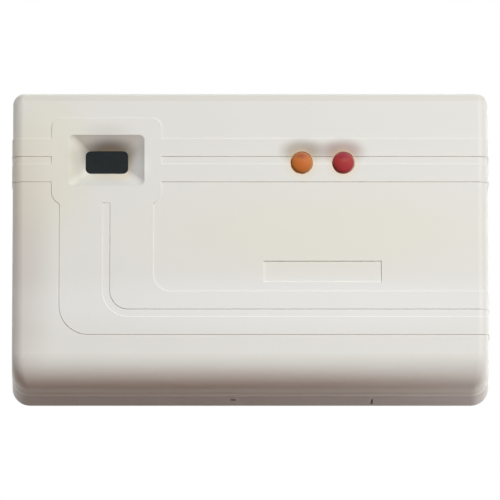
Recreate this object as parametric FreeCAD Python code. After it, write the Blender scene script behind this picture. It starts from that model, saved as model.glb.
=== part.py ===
import FreeCAD, Part
import math
import os
from FreeCAD import Vector

# Acoustic glass break sensor for a wall: a front cover with a microphone horn and two lamps,
# a rear base, and the circuit board with its parts between them.
# Frame in millimetres: the origin is the centre of the back face, which lies on the wall at y = 0.
# +X is to the right of someone who faces the sensor, +Z is up, and the front looks along -Y.

# Housing
FRONT_WIDTH = 108.0
FRONT_HEIGHT = 66.8
DEPTH = 33.0
DRAFT = math.radians(2.0)
WALL = 2.2
FLOOR = 2.4
R_BOTTOM_FRONT = 7.4
R_SIDE_FRONT = 2.4
R_TOP_FRONT = 1.3
R_CORNER_TOP = 2.5
R_CORNER_BOTTOM = 4.1
R_INNER_EDGE = 0.8
R_INNER_CORNER = 1.2

# Ends of the front, which what lies near them is placed from
LEFT_END = -FRONT_WIDTH / 2
TOP_END = FRONT_HEIGHT / 2
BOTTOM_END = -FRONT_HEIGHT / 2

# Joint between cover and base, and the groove round the skirt of the cover
PARTING = 14.6
PARTING_GAP = 0.2
LIP_HEIGHT = 2.4
LIP_THICKNESS = 1.0
LIP_CLEARANCE = 0.15
SKIRT_GROOVE_FROM_WALL = 20.3
SKIRT_GROOVE_WIDTH = 0.65
SKIRT_GROOVE_DEPTH = 0.55

# Raised bands on the front, placed by their centre lines
RELIEF = 0.15
UPPER_BAND_FROM_TOP = 15.4
UPPER_BAND_Z = TOP_END - UPPER_BAND_FROM_TOP
UPPER_BAND_HEIGHT = 9.9
LOWER_BAND_FROM_BOTTOM = 16.45
LOWER_BAND_Z = BOTTOM_END + LOWER_BAND_FROM_BOTTOM
LOWER_BAND_HEIGHT = 9.85
BAND_GROOVE = 1.75
RIBBON_WIDTH = 21.3
RIBBON_OUTER_R = 6.6
RIBBON_INNER_R = 4.0
RIBBON_GROOVE = 1.7
RIBBON_GROOVE_INNER_R = 4.2
RIBBON_GROOVE_TOP = 9.8

# Microphone horn
HORN_FROM_LEFT = 21.3
HORN_X = LEFT_END + HORN_FROM_LEFT
HORN_BLOCK_WIDTH = 25.0
HORN_BLOCK_TOP = 9.7
HORN_BLOCK_BOTTOM = 10.2
HORN_BLOCK_TOP_R = 2.2
HORN_BLOCK_BOTTOM_R = 3.0
MOUTH_WIDTH = 17.3
MOUTH_HEIGHT = 11.7
MOUTH_R = 1.2
HORN_DEPTH = 3.6
THROAT_WIDTH = 9.7
THROAT_HEIGHT = 5.2
THROAT_R = 1.2
HORN_WALL = 1.9
THROAT_LENGTH = 2.4
FOAM_THICKNESS = 1.9
FOAM_CLEARANCE = 0.02

# Lamps
LAMP_X = 16.4
LAMP_PITCH = 9.46
LAMP_DROP = 0.6
LAMP_R = 2.5
LAMP_HOLE_CLEARANCE = 0.1
LAMP_STANDS_PROUD = 1.9
LAMP_LENGTH = 8.6
LAMP_FLANGE_R = 2.9
LAMP_FLANGE_HEIGHT = 1.0
LAMP_FLAT = 2.6
LAMP_LEAD = 0.5
LAMP_LEAD_PITCH = 2.54
SPACER_CLEARANCE = 0.05

# Name panel, left bare
PANEL_WIDTH = 26.7
PANEL_HEIGHT = 4.8
PANEL_ABOVE_BAND = 9.45
PANEL_Z = LOWER_BAND_Z + PANEL_ABOVE_BAND
PANEL_DEPTH = 0.25

# Circuit board and what holds it
BOARD_SIDE_GAP = 9.0
BOARD_TOP_GAP = 3.1
WIRING_SPACE = 14.4
BOARD_WIDTH = FRONT_WIDTH - 2 * BOARD_SIDE_GAP
BOARD_RIGHT = BOARD_WIDTH / 2
BOARD_TOP = TOP_END - BOARD_TOP_GAP
BOARD_BOTTOM = BOTTOM_END + WIRING_SPACE
BOARD_THICKNESS = 1.6
BOARD_R = 1.5
POST_HEIGHT = 5.0
POST_R = 3.0
POST_INSET_X = 4.0
POST_INSET_Z = 3.8
SCREW_R = 1.4
SCREW_CLEARANCE = 0.02
SCREW_HEAD_R = 2.7
SCREW_HEAD_HEIGHT = 1.7
SCREW_LENGTH = 5.6
SCREW_EDGE = 0.57
SCREW_CROSS = 3.24
SCREW_CROSS_WIDTH = 0.7
BOARD_HOLE_R = 1.6

# Wall fixing and wiring
WALL_HOLE_SPACING = 83.3
WALL_HOLE_R = 2.15
WALL_BOSS_R = 4.6
WALL_BOSS_HEIGHT = 1.2
BOARD_NOTCH_R = 5.6
WIRE_HOLE_X = 9.0
WIRE_HOLE_WIDTH = 18.0
WIRE_HOLE_FROM_BOTTOM = 7.2
WIRE_HOLE_Z = BOTTOM_END + WIRE_HOLE_FROM_BOTTOM
WIRE_HOLE_HEIGHT = 8.0
WIRE_HOLE_R = 1.5
SLIT_X = 28.0
SLIT_WIDTH = 0.4
SLIT_LENGTH = 7.2
SLIT_FROM_WALL = 3.0
NICK_X = -4.0
NICK_WIDTH = 1.2
NICK_LENGTH = 3.0
NICK_FROM_WALL = 8.0
NICK_DEPTH = 0.5

# Tamper switch, pressed by a post of the cover
TAMPER_FROM_RIGHT = 13.4
TAMPER_FROM_TOP = 6.4
TAMPER_AT = (BOARD_RIGHT - TAMPER_FROM_RIGHT, BOARD_TOP - TAMPER_FROM_TOP)
TAMPER_SIZE = (11.0, 6.4, 6.6)
TAMPER_PRESSED_HEIGHT = 8.4
TAMPER_TRAVEL = 1.2
TAMPER_EDGE = 0.55
TAMPER_CHAMBER = 1.65
TAMPER_FLOOR = 1.0
TAMPER_POST_R = 1.6
PLUNGER_R = 1.15
PLUNGER_FLANGE_R = 1.9
PLUNGER_FLANGE = 0.8
RUNNING_GAP = 0.06
PRESS_GAP = 0.02

# Setting switch and its sliders
DIP_X = -4.0
DIP_FROM_FOOT = 26.4
DIP_AT = (DIP_X, BOARD_BOTTOM + DIP_FROM_FOOT)
DIP_SIZE = (12.6, 6.8, 4.6)
DIP_EDGE = 0.38
DIP_PITCH = 2.54
SLIDER_SIZE = (1.3, 1.5, 1.7)
SLIDER_TRAVEL = 1.6
SLIDER_DEEP = 1.1
SLIDERS_UP = (1, 2)
SLIDER_COUNT = 4

# Microphone
CAPSULE_R = 4.85
CAPSULE_LENGTH = 6.7
CAPSULE_SETBACK = 1.2
CAPSULE_RIM = 0.4
CAPSULE_LEAD_R = 0.3
CAPSULE_LEAD_PITCH = 2.54
BOOT_R = 6.4
BOOT_CLEARANCE = 0.05
BOOT_GAP = 0.25
BOOT_FLANGE_R = 7.2
BOOT_FLANGE = 1.4

# Terminal block
TERMINAL_X = 9.0
TERMINAL_FROM_FOOT = 9.6
TERMINAL_TOP = BOARD_BOTTOM + TERMINAL_FROM_FOOT
TERMINAL_COUNT = 8
TERMINAL_PITCH = 5.08
TERMINAL_DEEP = 8.8
TERMINAL_TALL = 10.0
TERMINAL_STEP = 2.2
TERMINAL_SCREW_R = 1.75
TERMINAL_SCREW_HEIGHT = 2.6
TERMINAL_SLOT = (0.6, 0.9)
TERMINAL_WELL_R = 1.95
TERMINAL_WELL = 5.0
TERMINAL_WINDOW = 3.4
TERMINAL_WINDOW_DEEP = 5.6
CLAMP_SIZE = (3.0, 4.6, 0.8)

# Relay, chips and small parts: place on the board, from its foot, its top or its right end,
# then width, height and how far it stands off the board
RELAY_FROM_RIGHT = 19.4
RELAY_ABOVE_TERMINAL = 8.6
RELAY_AT = (BOARD_RIGHT - RELAY_FROM_RIGHT, TERMINAL_TOP + RELAY_ABOVE_TERMINAL)
RELAY_SIZE = (19.2, 15.2, 15.0)
RELAY_EDGE = 0.75
SOCKET_X = -10.0
SOCKET_FROM_FOOT = 15.8
SOCKET_AT = (SOCKET_X, BOARD_BOTTOM + SOCKET_FROM_FOOT)
SOCKET_SIZE = (23.0, 9.6, 4.0)
SOCKET_WINDOW = (5.8, 4.8)
SOCKET_WINDOW_OFF_CENTRE = 4.6
CONTROLLER_SIZE = (22.6, 6.3, 3.2)
CONTROLLER_LEGS = 9
CONTROLLER_NOTCH = 1.05
LEG_PITCH = 2.54
LEG_WIDTH = 1.0
LEG_OUT = 0.64
AMPLIFIER_X = -15.5
AMPLIFIER_FROM_FOOT = 28.4
AMPLIFIER_AT = (AMPLIFIER_X, BOARD_BOTTOM + AMPLIFIER_FROM_FOOT)
AMPLIFIER_SIZE = (8.6, 3.9, 1.5)
AMPLIFIER_LEGS = 7
AMPLIFIER_PITCH = 1.27
AMPLIFIER_FOOT = 0.25
AMPLIFIER_LEG_OUT = 1.0
ELECTROLYTIC_FROM_TOP = 7.3
ELECTROLYTIC_Z = BOARD_TOP - ELECTROLYTIC_FROM_TOP
ELECTROLYTIC_RIM = 0.4
BIG_CAN = {"x": 1.5, "radius": 4.0, "tall": 11.6}
MIDDLE_CAN = {"x": -7.2, "radius": 3.15, "tall": 11.2}
SMALL_CAN = {"x": -14.6, "radius": 2.5, "tall": 11.0}
DISC_X = 7.2
DISC_FROM_FOOT = 20.8
DISC_PITCH = 4.6
DISC_COUNT = 3
DISC_R = 2.7
DISC_THICKNESS = 2.2
DISC_LEAD = 1.4
RESISTOR_X = -28.0
RESISTOR_FROM_FOOT = 2.15
RESISTOR_PITCH = 3.1
RESISTOR_COUNT = 7
RESISTOR_R = 1.15
RESISTOR_WAIST_R = 0.98
RESISTOR_LENGTH = 6.3
RESISTOR_SPAN = 9.0
RESISTOR_OFF_BOARD = 1.8
WIRE_R = 0.3
DIODE_X = 8.6
DIODE_FROM_FOOT = 12.8
DIODE_PITCH = 3.2
DIODE_COUNT = 2
DIODE_R = 1.25
DIODE_LENGTH = 4.6
CRYSTAL_X = -17.25
CRYSTAL_FROM_FOOT = 4.8
CRYSTAL_AT = (CRYSTAL_X, BOARD_BOTTOM + CRYSTAL_FROM_FOOT)
CRYSTAL_SIZE = (10.6, 3.9, 3.6)
CRYSTAL_RIM = 0.4
CRYSTAL_RIM_HEIGHT = 0.5
REGULATOR_FROM_RIGHT = 5.0
REGULATOR_FROM_TOP = 16.8
REGULATOR_AT = (BOARD_RIGHT - REGULATOR_FROM_RIGHT, BOARD_TOP - REGULATOR_FROM_TOP)
REGULATOR_SIZE = (9.0, 4.2, 9.0)
TAB_THICKNESS = 1.05
TAB_LENGTH = 5.4
TAB_HOLE_R = 1.5
VARISTOR_FROM_TOP = 10.3
VARISTOR_AT = (BOARD_RIGHT - REGULATOR_FROM_RIGHT, BOARD_TOP - VARISTOR_FROM_TOP)
VARISTOR_R = 3.3
VARISTOR_THICKNESS = 3.2
JUMPER_X = 15.4
JUMPER_FROM_TOP = 3.9
JUMPER_AT = (JUMPER_X, BOARD_TOP - JUMPER_FROM_TOP)
JUMPER_PINS = 3
JUMPER_PIN = 0.64
JUMPER_PIN_HEIGHT = 8.4
JUMPER_SHUNT_HEIGHT = 6.0
JUMPER_SHUNT_SMALLER = 0.1

# Snap fingers of the cover and the ridges they catch on
FINGER_PLACES = ((-28.0, 1), (28.0, 1), (-20.0, -1), (20.0, -1))
FINGER_WIDTH = 9.0
FINGER_THICKNESS = 1.3
FINGER_REACH = 3.6
HOOK_HEIGHT = 0.6
HOOK_CLEARANCE = 0.05
FINGER_ROOT = 5.0

# Reach of a slab that takes in the whole object, how far a cut runs past a face, and how near
# a point is to a plane that it counts as lying in
WHOLE = 200.0
OVERRUN = 1.0
NEAR = 1e-3
BESIDE = 0.1


def face_y():
    return -DEPTH


def parting_y():
    return -PARTING


def inner_face_y():
    return -(DEPTH - WALL)


def half_width(y, grow=0.0):
    return FRONT_WIDTH / 2 + grow + (DEPTH + y) * math.tan(DRAFT)


def half_height(y, grow=0.0):
    return FRONT_HEIGHT / 2 + grow + (DEPTH + y) * math.tan(DRAFT)


# Plain forms, drawn in the front view and made solid along Y

def box(x0, x1, y0, y1, z0, z1):
    return Part.makeBox(x1 - x0, y1 - y0, z1 - z0, Vector(x0, y0, z0))


def centred_box(x, z, width, height, y_front, y_back):
    return box(x - width / 2, x + width / 2, y_front, y_back, z - height / 2, z + height / 2)


def rod(x, z, radius, y_front, y_back):
    return Part.makeCylinder(radius, y_back - y_front, Vector(x, y_front, z), Vector(0, 1, 0))


def pipe_along_x(x0, x1, y, z, radius):
    return Part.makeCylinder(radius, x1 - x0, Vector(x0, y, z), Vector(1, 0, 0))


def pipe_along_z(x, y, z0, z1, radius):
    return Part.makeCylinder(radius, z1 - z0, Vector(x, y, z0), Vector(0, 0, 1))


def corner_arc(centre_x, centre_z, radius, start_deg, y):
    points = []
    for deg in (start_deg, start_deg + 45, start_deg + 90):
        a = math.radians(deg)
        points.append(Vector(centre_x + radius * math.cos(a), y, centre_z + radius * math.sin(a)))
    return Part.Arc(*points).toShape(), points[0], points[2]


def rounded_wire(x0, x1, z0, z1, y, top_r, bottom_r=None):
    low_r = top_r if bottom_r is None else bottom_r
    corners = (
        corner_arc(x1 - top_r, z1 - top_r, top_r, 0, y),
        corner_arc(x0 + top_r, z1 - top_r, top_r, 90, y),
        corner_arc(x0 + low_r, z0 + low_r, low_r, 180, y),
        corner_arc(x1 - low_r, z0 + low_r, low_r, 270, y),
    )
    edges = []
    for i, (arc, start, end) in enumerate(corners):
        edges.append(arc)
        following = corners[(i + 1) % 4][1]
        edges.append(Part.LineSegment(end, following).toShape())
    return Part.Wire(Part.__sortEdges__(edges))


def rounded_plate(x0, x1, z0, z1, y_front, y_back, top_r, bottom_r=None):
    wire = rounded_wire(x0, x1, z0, z1, y_front, top_r, bottom_r)
    return Part.Face(wire).extrude(Vector(0, y_back - y_front, 0))


def centred_plate(x, z, width, height, y_front, y_back, radius):
    return rounded_plate(x - width / 2, x + width / 2, z - height / 2, z + height / 2,
                         y_front, y_back, radius)


def fuse_all(solids):
    whole = solids[0]
    if len(solids) > 1:
        whole = whole.multiFuse(solids[1:])
    return whole.removeSplitter()


# Housing form: a drafted block with its own radius on each edge

def cross_section(y, grow):
    a = half_width(y, grow)
    b = half_height(y, grow)
    corners = [Vector(-a, y, -b), Vector(a, y, -b), Vector(a, y, b), Vector(-a, y, b)]
    return Part.makePolygon(corners + corners[:1])


def round_each(solid, radii):
    document = FreeCAD.newDocument("rounding")
    plain = document.addObject("Part::Feature", "plain")
    plain.Shape = solid
    rounded = document.addObject("Part::Fillet", "rounded")
    rounded.Base = plain
    rounded.Edges = radii
    document.recompute()
    shape = rounded.Shape.copy()
    FreeCAD.closeDocument(document.Name)
    return shape.Solids[0]


def edge_radii(solid, y_front, y_back, grow):
    side_r = max(R_SIDE_FRONT + grow, R_INNER_EDGE)
    top_r = max(R_TOP_FRONT + grow, R_INNER_EDGE)
    corner_top_r = max(R_CORNER_TOP + grow, R_INNER_CORNER)
    corner_bottom_r = max(R_CORNER_BOTTOM + grow, R_INNER_CORNER)
    radii = []
    for number, edge in enumerate(solid.Edges, 1):
        middle = edge.CenterOfMass
        ends = [v.Point for v in edge.Vertexes]
        on_side = abs(middle.x) > half_width(y_front, grow) - BESIDE
        in_front = all(abs(p.y - y_front) < NEAR for p in ends)
        at_back = [abs(p.y - y_back) < NEAR for p in ends]
        if all(at_back):
            continue
        if in_front and on_side:
            radii.append((number, side_r, side_r))
        elif in_front and middle.z > 0:
            radii.append((number, top_r, top_r))
        elif on_side and any(at_back):
            r = corner_top_r if middle.z > 0 else corner_bottom_r
            radii.append((number, r, r))
        elif on_side:
            first = edge.valueAt(edge.FirstParameter)
            front_first = abs(first.y - y_front) < NEAR
            radii.append((number, side_r, corner_bottom_r) if front_first
                         else (number, corner_bottom_r, side_r))
    return radii


def housing_form(grow, y_back=0.0):
    y_front = face_y() - grow
    block = Part.makeLoft([cross_section(y_back, grow), cross_section(y_front, grow)], True, True)
    low_z = -half_height(y_front, grow)
    low_front = [e for e in block.Edges
                 if abs(e.CenterOfMass.y - y_front) < NEAR and abs(e.CenterOfMass.z - low_z) < NEAR]
    block = block.makeFillet(R_BOTTOM_FRONT + grow, low_front)
    return round_each(block, edge_radii(block, y_front, y_back, grow))


# Raised bands

def band_bars():
    reach = FRONT_WIDTH
    back = -SKIRT_GROOVE_FROM_WALL
    front = face_y() - 2 * RELIEF
    upper = box(-reach, reach, front, back,
                UPPER_BAND_Z - UPPER_BAND_HEIGHT / 2, UPPER_BAND_Z + UPPER_BAND_HEIGHT / 2)
    block = rounded_plate(HORN_X - HORN_BLOCK_WIDTH / 2, HORN_X + HORN_BLOCK_WIDTH / 2,
                          UPPER_BAND_Z - HORN_BLOCK_BOTTOM, UPPER_BAND_Z + HORN_BLOCK_TOP,
                          front, back, HORN_BLOCK_TOP_R, HORN_BLOCK_BOTTOM_R)
    return [upper, block, ribbon_bar(front, back)]


def ribbon_bar(front, back):
    left = HORN_X - RIBBON_WIDTH / 2
    right = HORN_X + RIBBON_WIDTH / 2
    top = UPPER_BAND_Z
    low = LOWER_BAND_Z - LOWER_BAND_HEIGHT / 2
    high = LOWER_BAND_Z + LOWER_BAND_HEIGHT / 2
    bar = turned_bar(left, right, top, low, high, RIBBON_OUTER_R, RIBBON_INNER_R, front)
    return bar.extrude(Vector(0, back - front, 0))


def turned_bar(left, right, top, low, high, outer_r, inner_r, y):
    reach = FRONT_WIDTH
    outer, outer_start, outer_end = corner_arc(left + outer_r, low + outer_r, outer_r, 180, y)
    inner, inner_start, inner_end = corner_arc(right + inner_r, high + inner_r, inner_r, 180, y)
    corners = [
        (Vector(left, y, top), outer_start),
        (outer_end, Vector(reach, y, low)),
        (Vector(reach, y, low), Vector(reach, y, high)),
        (Vector(reach, y, high), inner_end),
        (inner_start, Vector(right, y, top)),
        (Vector(right, y, top), Vector(left, y, top)),
    ]
    edges = [Part.LineSegment(a, b).toShape() for a, b in corners] + [outer, inner]
    return Part.Face(Part.Wire(Part.__sortEdges__(edges)))


def band_grooves():
    reach = FRONT_WIDTH
    back = 0.0
    front = face_y() - 2 * RELIEF
    low = UPPER_BAND_Z - BAND_GROOVE / 2
    high = UPPER_BAND_Z + BAND_GROOVE / 2
    half_block = HORN_BLOCK_WIDTH / 2
    left = box(-reach, HORN_X - half_block, front, back, low, high)
    right = box(HORN_X + half_block, reach, front, back, low, high)
    ribbon = turned_bar(HORN_X - RIBBON_GROOVE / 2, HORN_X + RIBBON_GROOVE / 2,
                        UPPER_BAND_Z - RIBBON_GROOVE_TOP,
                        LOWER_BAND_Z - BAND_GROOVE / 2, LOWER_BAND_Z + BAND_GROOVE / 2,
                        RIBBON_GROOVE_INNER_R + RIBBON_GROOVE, RIBBON_GROOVE_INNER_R, front)
    return [left, right, ribbon.extrude(Vector(0, back - front, 0))]


def raised_bands():
    bars = fuse_all(band_bars())
    for groove in band_grooves():
        bars = bars.cut(groove)
    return bars.common(housing_form(RELIEF))


# Front cover

def slab(y_front, y_back):
    return box(-WHOLE, WHOLE, y_front, y_back, -WHOLE, WHOLE)


def lip_outside():
    return -WALL + LIP_THICKNESS


def mouth_y():
    return face_y() - RELIEF


def throat_y():
    return mouth_y() + HORN_DEPTH


def horn_back_y():
    return throat_y() + THROAT_LENGTH


def horn_body():
    wide = centred_plate(HORN_X, UPPER_BAND_Z, THROAT_WIDTH + 2 * (HORN_WALL + WALL),
                         THROAT_HEIGHT + 2 * (HORN_WALL + WALL),
                         inner_face_y() - WALL / 2, throat_y() + WALL / 2, THROAT_R + HORN_WALL)
    collar = centred_plate(HORN_X, UPPER_BAND_Z, THROAT_WIDTH + 2 * HORN_WALL,
                           THROAT_HEIGHT + 2 * HORN_WALL,
                           inner_face_y() - WALL / 2, horn_back_y(), THROAT_R + HORN_WALL)
    return wide.fuse(collar)


def horn_hollow():
    clear = RELIEF
    slope_x = (MOUTH_WIDTH - THROAT_WIDTH) / 2 / HORN_DEPTH
    slope_z = (MOUTH_HEIGHT - THROAT_HEIGHT) / 2 / HORN_DEPTH
    half_w = MOUTH_WIDTH / 2 + clear * slope_x
    half_h = MOUTH_HEIGHT / 2 + clear * slope_z
    mouth = rounded_wire(HORN_X - half_w, HORN_X + half_w, UPPER_BAND_Z - half_h,
                         UPPER_BAND_Z + half_h, mouth_y() - clear, MOUTH_R)
    throat = rounded_wire(HORN_X - THROAT_WIDTH / 2, HORN_X + THROAT_WIDTH / 2,
                          UPPER_BAND_Z - THROAT_HEIGHT / 2, UPPER_BAND_Z + THROAT_HEIGHT / 2,
                          throat_y(), THROAT_R)
    funnel = Part.makeLoft([mouth, throat], True, True)
    bore = centred_plate(HORN_X, UPPER_BAND_Z, THROAT_WIDTH, THROAT_HEIGHT,
                         throat_y() - RELIEF, horn_back_y() + WALL, THROAT_R)
    return [funnel, bore]


def lamp_places():
    z = UPPER_BAND_Z - LAMP_DROP
    return [(LAMP_X - LAMP_PITCH / 2, z), (LAMP_X + LAMP_PITCH / 2, z)]


def lamp_collars():
    return [rod(x, z, LAMP_R + WALL, inner_face_y() - WALL / 2, inner_face_y() + WALL / 2)
            for x, z in lamp_places()]


def lamp_holes():
    return [rod(x, z, LAMP_R + LAMP_HOLE_CLEARANCE, mouth_y() - RELIEF, inner_face_y() + WALL)
            for x, z in lamp_places()]


def name_panel_recess():
    return centred_box(LAMP_X, PANEL_Z, PANEL_WIDTH, PANEL_HEIGHT,
                       mouth_y() - RELIEF, face_y() + PANEL_DEPTH)


def skirt_groove():
    y = -SKIRT_GROOVE_FROM_WALL
    ring = slab(y - SKIRT_GROOVE_WIDTH / 2, y + SKIRT_GROOVE_WIDTH / 2)
    return ring.cut(housing_form(-SKIRT_GROOVE_DEPTH))


def tamper_post():
    x, z = TAMPER_AT
    return rod(x, z, TAMPER_POST_R, inner_face_y() - WALL / 2, plunger_front_y() - PRESS_GAP)


def hook_y():
    return parting_y() + FINGER_REACH


def ridge_height(y, raise_by=0.0):
    return half_height(y, -WALL - raise_by)


def finger_face():
    return ridge_height(parting_y(), HOOK_HEIGHT + HOOK_CLEARANCE) - HOOK_HEIGHT


def side_profile(points, x, width, side):
    wire = Part.makePolygon([Vector(x - width / 2, y, side * z) for y, z in points + points[:1]])
    return Part.Face(wire).extrude(Vector(width, 0, 0))


def snap_finger(x, side):
    face = finger_face()
    low = face - FINGER_THICKNESS
    tip = hook_y()
    root_back = parting_y() - LIP_HEIGHT - 2 * LIP_CLEARANCE
    root_front = root_back - FINGER_ROOT
    wall = half_height(root_front, -WALL / 2)
    profile = [
        (root_front, low), (tip, low), (tip, face), (tip - HOOK_HEIGHT, face + HOOK_HEIGHT),
        (tip - 2 * HOOK_HEIGHT, face + HOOK_HEIGHT), (tip - 3 * HOOK_HEIGHT, face),
        (root_back, face), (root_back, wall), (root_front, wall),
    ]
    return side_profile(profile, x, FINGER_WIDTH, side)


def snap_fingers():
    return [snap_finger(x, side) for x, side in FINGER_PLACES]


def catch_ridge(x, side):
    front = hook_y() - 3 * HOOK_HEIGHT - RUNNING_GAP
    back = front
    rise = front - HOOK_HEIGHT
    crest = ridge_height(parting_y(), HOOK_HEIGHT)
    foot = half_height(parting_y(), -WALL / 2)
    profile = [(back, foot), (back, crest), (rise - HOOK_HEIGHT, crest),
               (rise - 2 * HOOK_HEIGHT, crest + HOOK_HEIGHT), (rise - 2 * HOOK_HEIGHT, foot)]
    return side_profile(profile, x, FINGER_WIDTH + 2 * HOOK_HEIGHT, side)


def catch_ridges():
    return [catch_ridge(x, side) for x, side in FINGER_PLACES]


def make_front_cover():
    body = housing_form(0.0).fuse(raised_bands())
    body = body.common(slab(-WHOLE, parting_y() - PARTING_GAP))
    body = body.cut(housing_form(-WALL))
    rebate = housing_form(lip_outside() + LIP_CLEARANCE)
    body = body.cut(rebate.common(slab(parting_y() - LIP_HEIGHT - LIP_CLEARANCE, 0.0)))
    body = body.multiFuse([horn_body(), tamper_post()] + lamp_collars() + snap_fingers())
    for hollow in horn_hollow() + lamp_holes():
        body = body.cut(hollow)
    body = body.cut(name_panel_recess())
    body = body.cut(skirt_groove())
    return body.removeSplitter()


# Rear base

def board_back_y():
    return -(FLOOR + POST_HEIGHT)


def board_front_y():
    return board_back_y() - BOARD_THICKNESS


def post_places():
    x = BOARD_WIDTH / 2 - POST_INSET_X
    return [(-x, BOARD_TOP - POST_INSET_Z), (x, BOARD_TOP - POST_INSET_Z),
            (-x, BOARD_BOTTOM + POST_INSET_Z), (x, BOARD_BOTTOM + POST_INSET_Z)]


def wall_hole_places():
    return [(-WALL_HOLE_SPACING / 2, 0.0), (WALL_HOLE_SPACING / 2, 0.0)]


def make_rear_base():
    outer = housing_form(0.0)
    body = outer.common(slab(parting_y(), WHOLE))
    lip = housing_form(lip_outside()).common(slab(parting_y() - LIP_HEIGHT, parting_y() / 2))
    body = body.fuse(lip).cut(housing_form(-WALL, -FLOOR))
    posts = [rod(x, z, POST_R, board_back_y(), -FLOOR / 2) for x, z in post_places()]
    bosses = [rod(x, z, WALL_BOSS_R, -FLOOR - WALL_BOSS_HEIGHT, -FLOOR / 2)
              for x, z in wall_hole_places()]
    body = body.multiFuse(posts + bosses + catch_ridges())
    cuts = [rod(x, z, SCREW_R + SCREW_CLEARANCE, board_back_y() - OVERRUN, -FLOOR)
            for x, z in post_places()]
    cuts += [rod(x, z, WALL_HOLE_R, -WHOLE / 4, WHOLE / 4) for x, z in wall_hole_places()]
    cuts.append(centred_plate(WIRE_HOLE_X, WIRE_HOLE_Z, WIRE_HOLE_WIDTH, WIRE_HOLE_HEIGHT,
                              -FLOOR - OVERRUN, 1.0, WIRE_HOLE_R))
    cuts.append(wall_slit())
    cuts.append(wall_nick())
    for c in cuts:
        body = body.cut(c)
    return body.removeSplitter()


def wall_slit():
    low = -half_height(0.0) - OVERRUN
    return box(SLIT_X - SLIT_WIDTH / 2, SLIT_X + SLIT_WIDTH / 2,
               -SLIT_FROM_WALL - SLIT_LENGTH, -SLIT_FROM_WALL, low, -half_height(0.0, -2 * WALL))


def wall_nick():
    y = -NICK_FROM_WALL
    low = -half_height(y)
    return box(NICK_X - NICK_WIDTH / 2, NICK_X + NICK_WIDTH / 2,
               y - NICK_LENGTH, y, low - OVERRUN, low + NICK_DEPTH)


# Circuit board and its fixings

def make_circuit_board():
    board = rounded_plate(-BOARD_WIDTH / 2, BOARD_WIDTH / 2, BOARD_BOTTOM, BOARD_TOP,
                          board_front_y(), board_back_y(), BOARD_R)
    for x, z in post_places():
        board = board.cut(rod(x, z, BOARD_HOLE_R, board_front_y() - OVERRUN, board_back_y() + OVERRUN))
    for x, z in wall_hole_places():
        board = board.cut(rod(x, z, BOARD_NOTCH_R, board_front_y() - OVERRUN, board_back_y() + OVERRUN))
        edge = math.copysign(BOARD_WIDTH / 2 + OVERRUN, x)
        board = board.cut(box(min(x, edge), max(x, edge), board_front_y() - OVERRUN,
                              board_back_y() + OVERRUN, z - BOARD_NOTCH_R, z + BOARD_NOTCH_R))
    return board


def make_board_screws():
    screws = []
    head_front = board_front_y() - SCREW_HEAD_HEIGHT
    for x, z in post_places():
        head = rod(x, z, SCREW_HEAD_R, head_front, board_front_y())
        head = head.makeChamfer(SCREW_EDGE, [e for e in head.Edges if
                                abs(e.CenterOfMass.y - head_front) < NEAR and len(e.Vertexes) == 1])
        shank = rod(x, z, SCREW_R, board_front_y(), board_front_y() + SCREW_LENGTH)
        screw = head.fuse(shank)
        for w, h in ((SCREW_CROSS, SCREW_CROSS_WIDTH), (SCREW_CROSS_WIDTH, SCREW_CROSS)):
            screw = screw.cut(centred_box(x, z, w, h, head_front - OVERRUN, head_front + OVERRUN))
        screws.append(screw.removeSplitter())
    return Part.makeCompound(screws)


def on_board(at, size):
    x, z = at
    width, height, tall = size
    return centred_box(x, z, width, height, board_front_y() - tall, board_front_y())


# Microphone, its boot and the foam in the throat

def make_horn_foam():
    gap = 2 * FOAM_CLEARANCE
    return centred_plate(HORN_X, UPPER_BAND_Z, THROAT_WIDTH - gap, THROAT_HEIGHT - gap,
                         throat_y(), throat_y() + FOAM_THICKNESS, THROAT_R - FOAM_CLEARANCE)


def boot_front_y():
    return horn_back_y() + BOOT_GAP


def capsule_front_y():
    return boot_front_y() + CAPSULE_SETBACK


def capsule_lead_places():
    half = CAPSULE_LEAD_PITCH / 2
    return [(HORN_X - half, UPPER_BAND_Z), (HORN_X + half, UPPER_BAND_Z)]


def make_microphone_boot():
    boot = rod(HORN_X, UPPER_BAND_Z, BOOT_R, boot_front_y(), board_front_y())
    foot = rod(HORN_X, UPPER_BAND_Z, BOOT_FLANGE_R, board_front_y() - BOOT_FLANGE, board_front_y())
    boot = boot.fuse(foot)
    seat = capsule_front_y() + CAPSULE_LENGTH
    boot = boot.cut(rod(HORN_X, UPPER_BAND_Z, CAPSULE_R + BOOT_CLEARANCE, boot_front_y() - OVERRUN, seat))
    for x, z in capsule_lead_places():
        boot = boot.cut(rod(x, z, CAPSULE_LEAD_R + BOOT_CLEARANCE, seat - OVERRUN, board_front_y() + OVERRUN))
    return boot.removeSplitter()


def make_microphone_capsule():
    front = capsule_front_y()
    back = front + CAPSULE_LENGTH
    capsule = rod(HORN_X, UPPER_BAND_Z, CAPSULE_R, front, back)
    rim = [e for e in capsule.Edges if len(e.Vertexes) == 1 and abs(e.CenterOfMass.y - front) < NEAR]
    capsule = capsule.makeChamfer(CAPSULE_RIM, rim)
    leads = [rod(x, z, CAPSULE_LEAD_R, back, board_front_y()) for x, z in capsule_lead_places()]
    return capsule.multiFuse(leads).removeSplitter()


# Lamps

def lamp_tip_y():
    return face_y() - LAMP_STANDS_PROUD


def lamp_back_y():
    return lamp_tip_y() + LAMP_LENGTH


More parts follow.
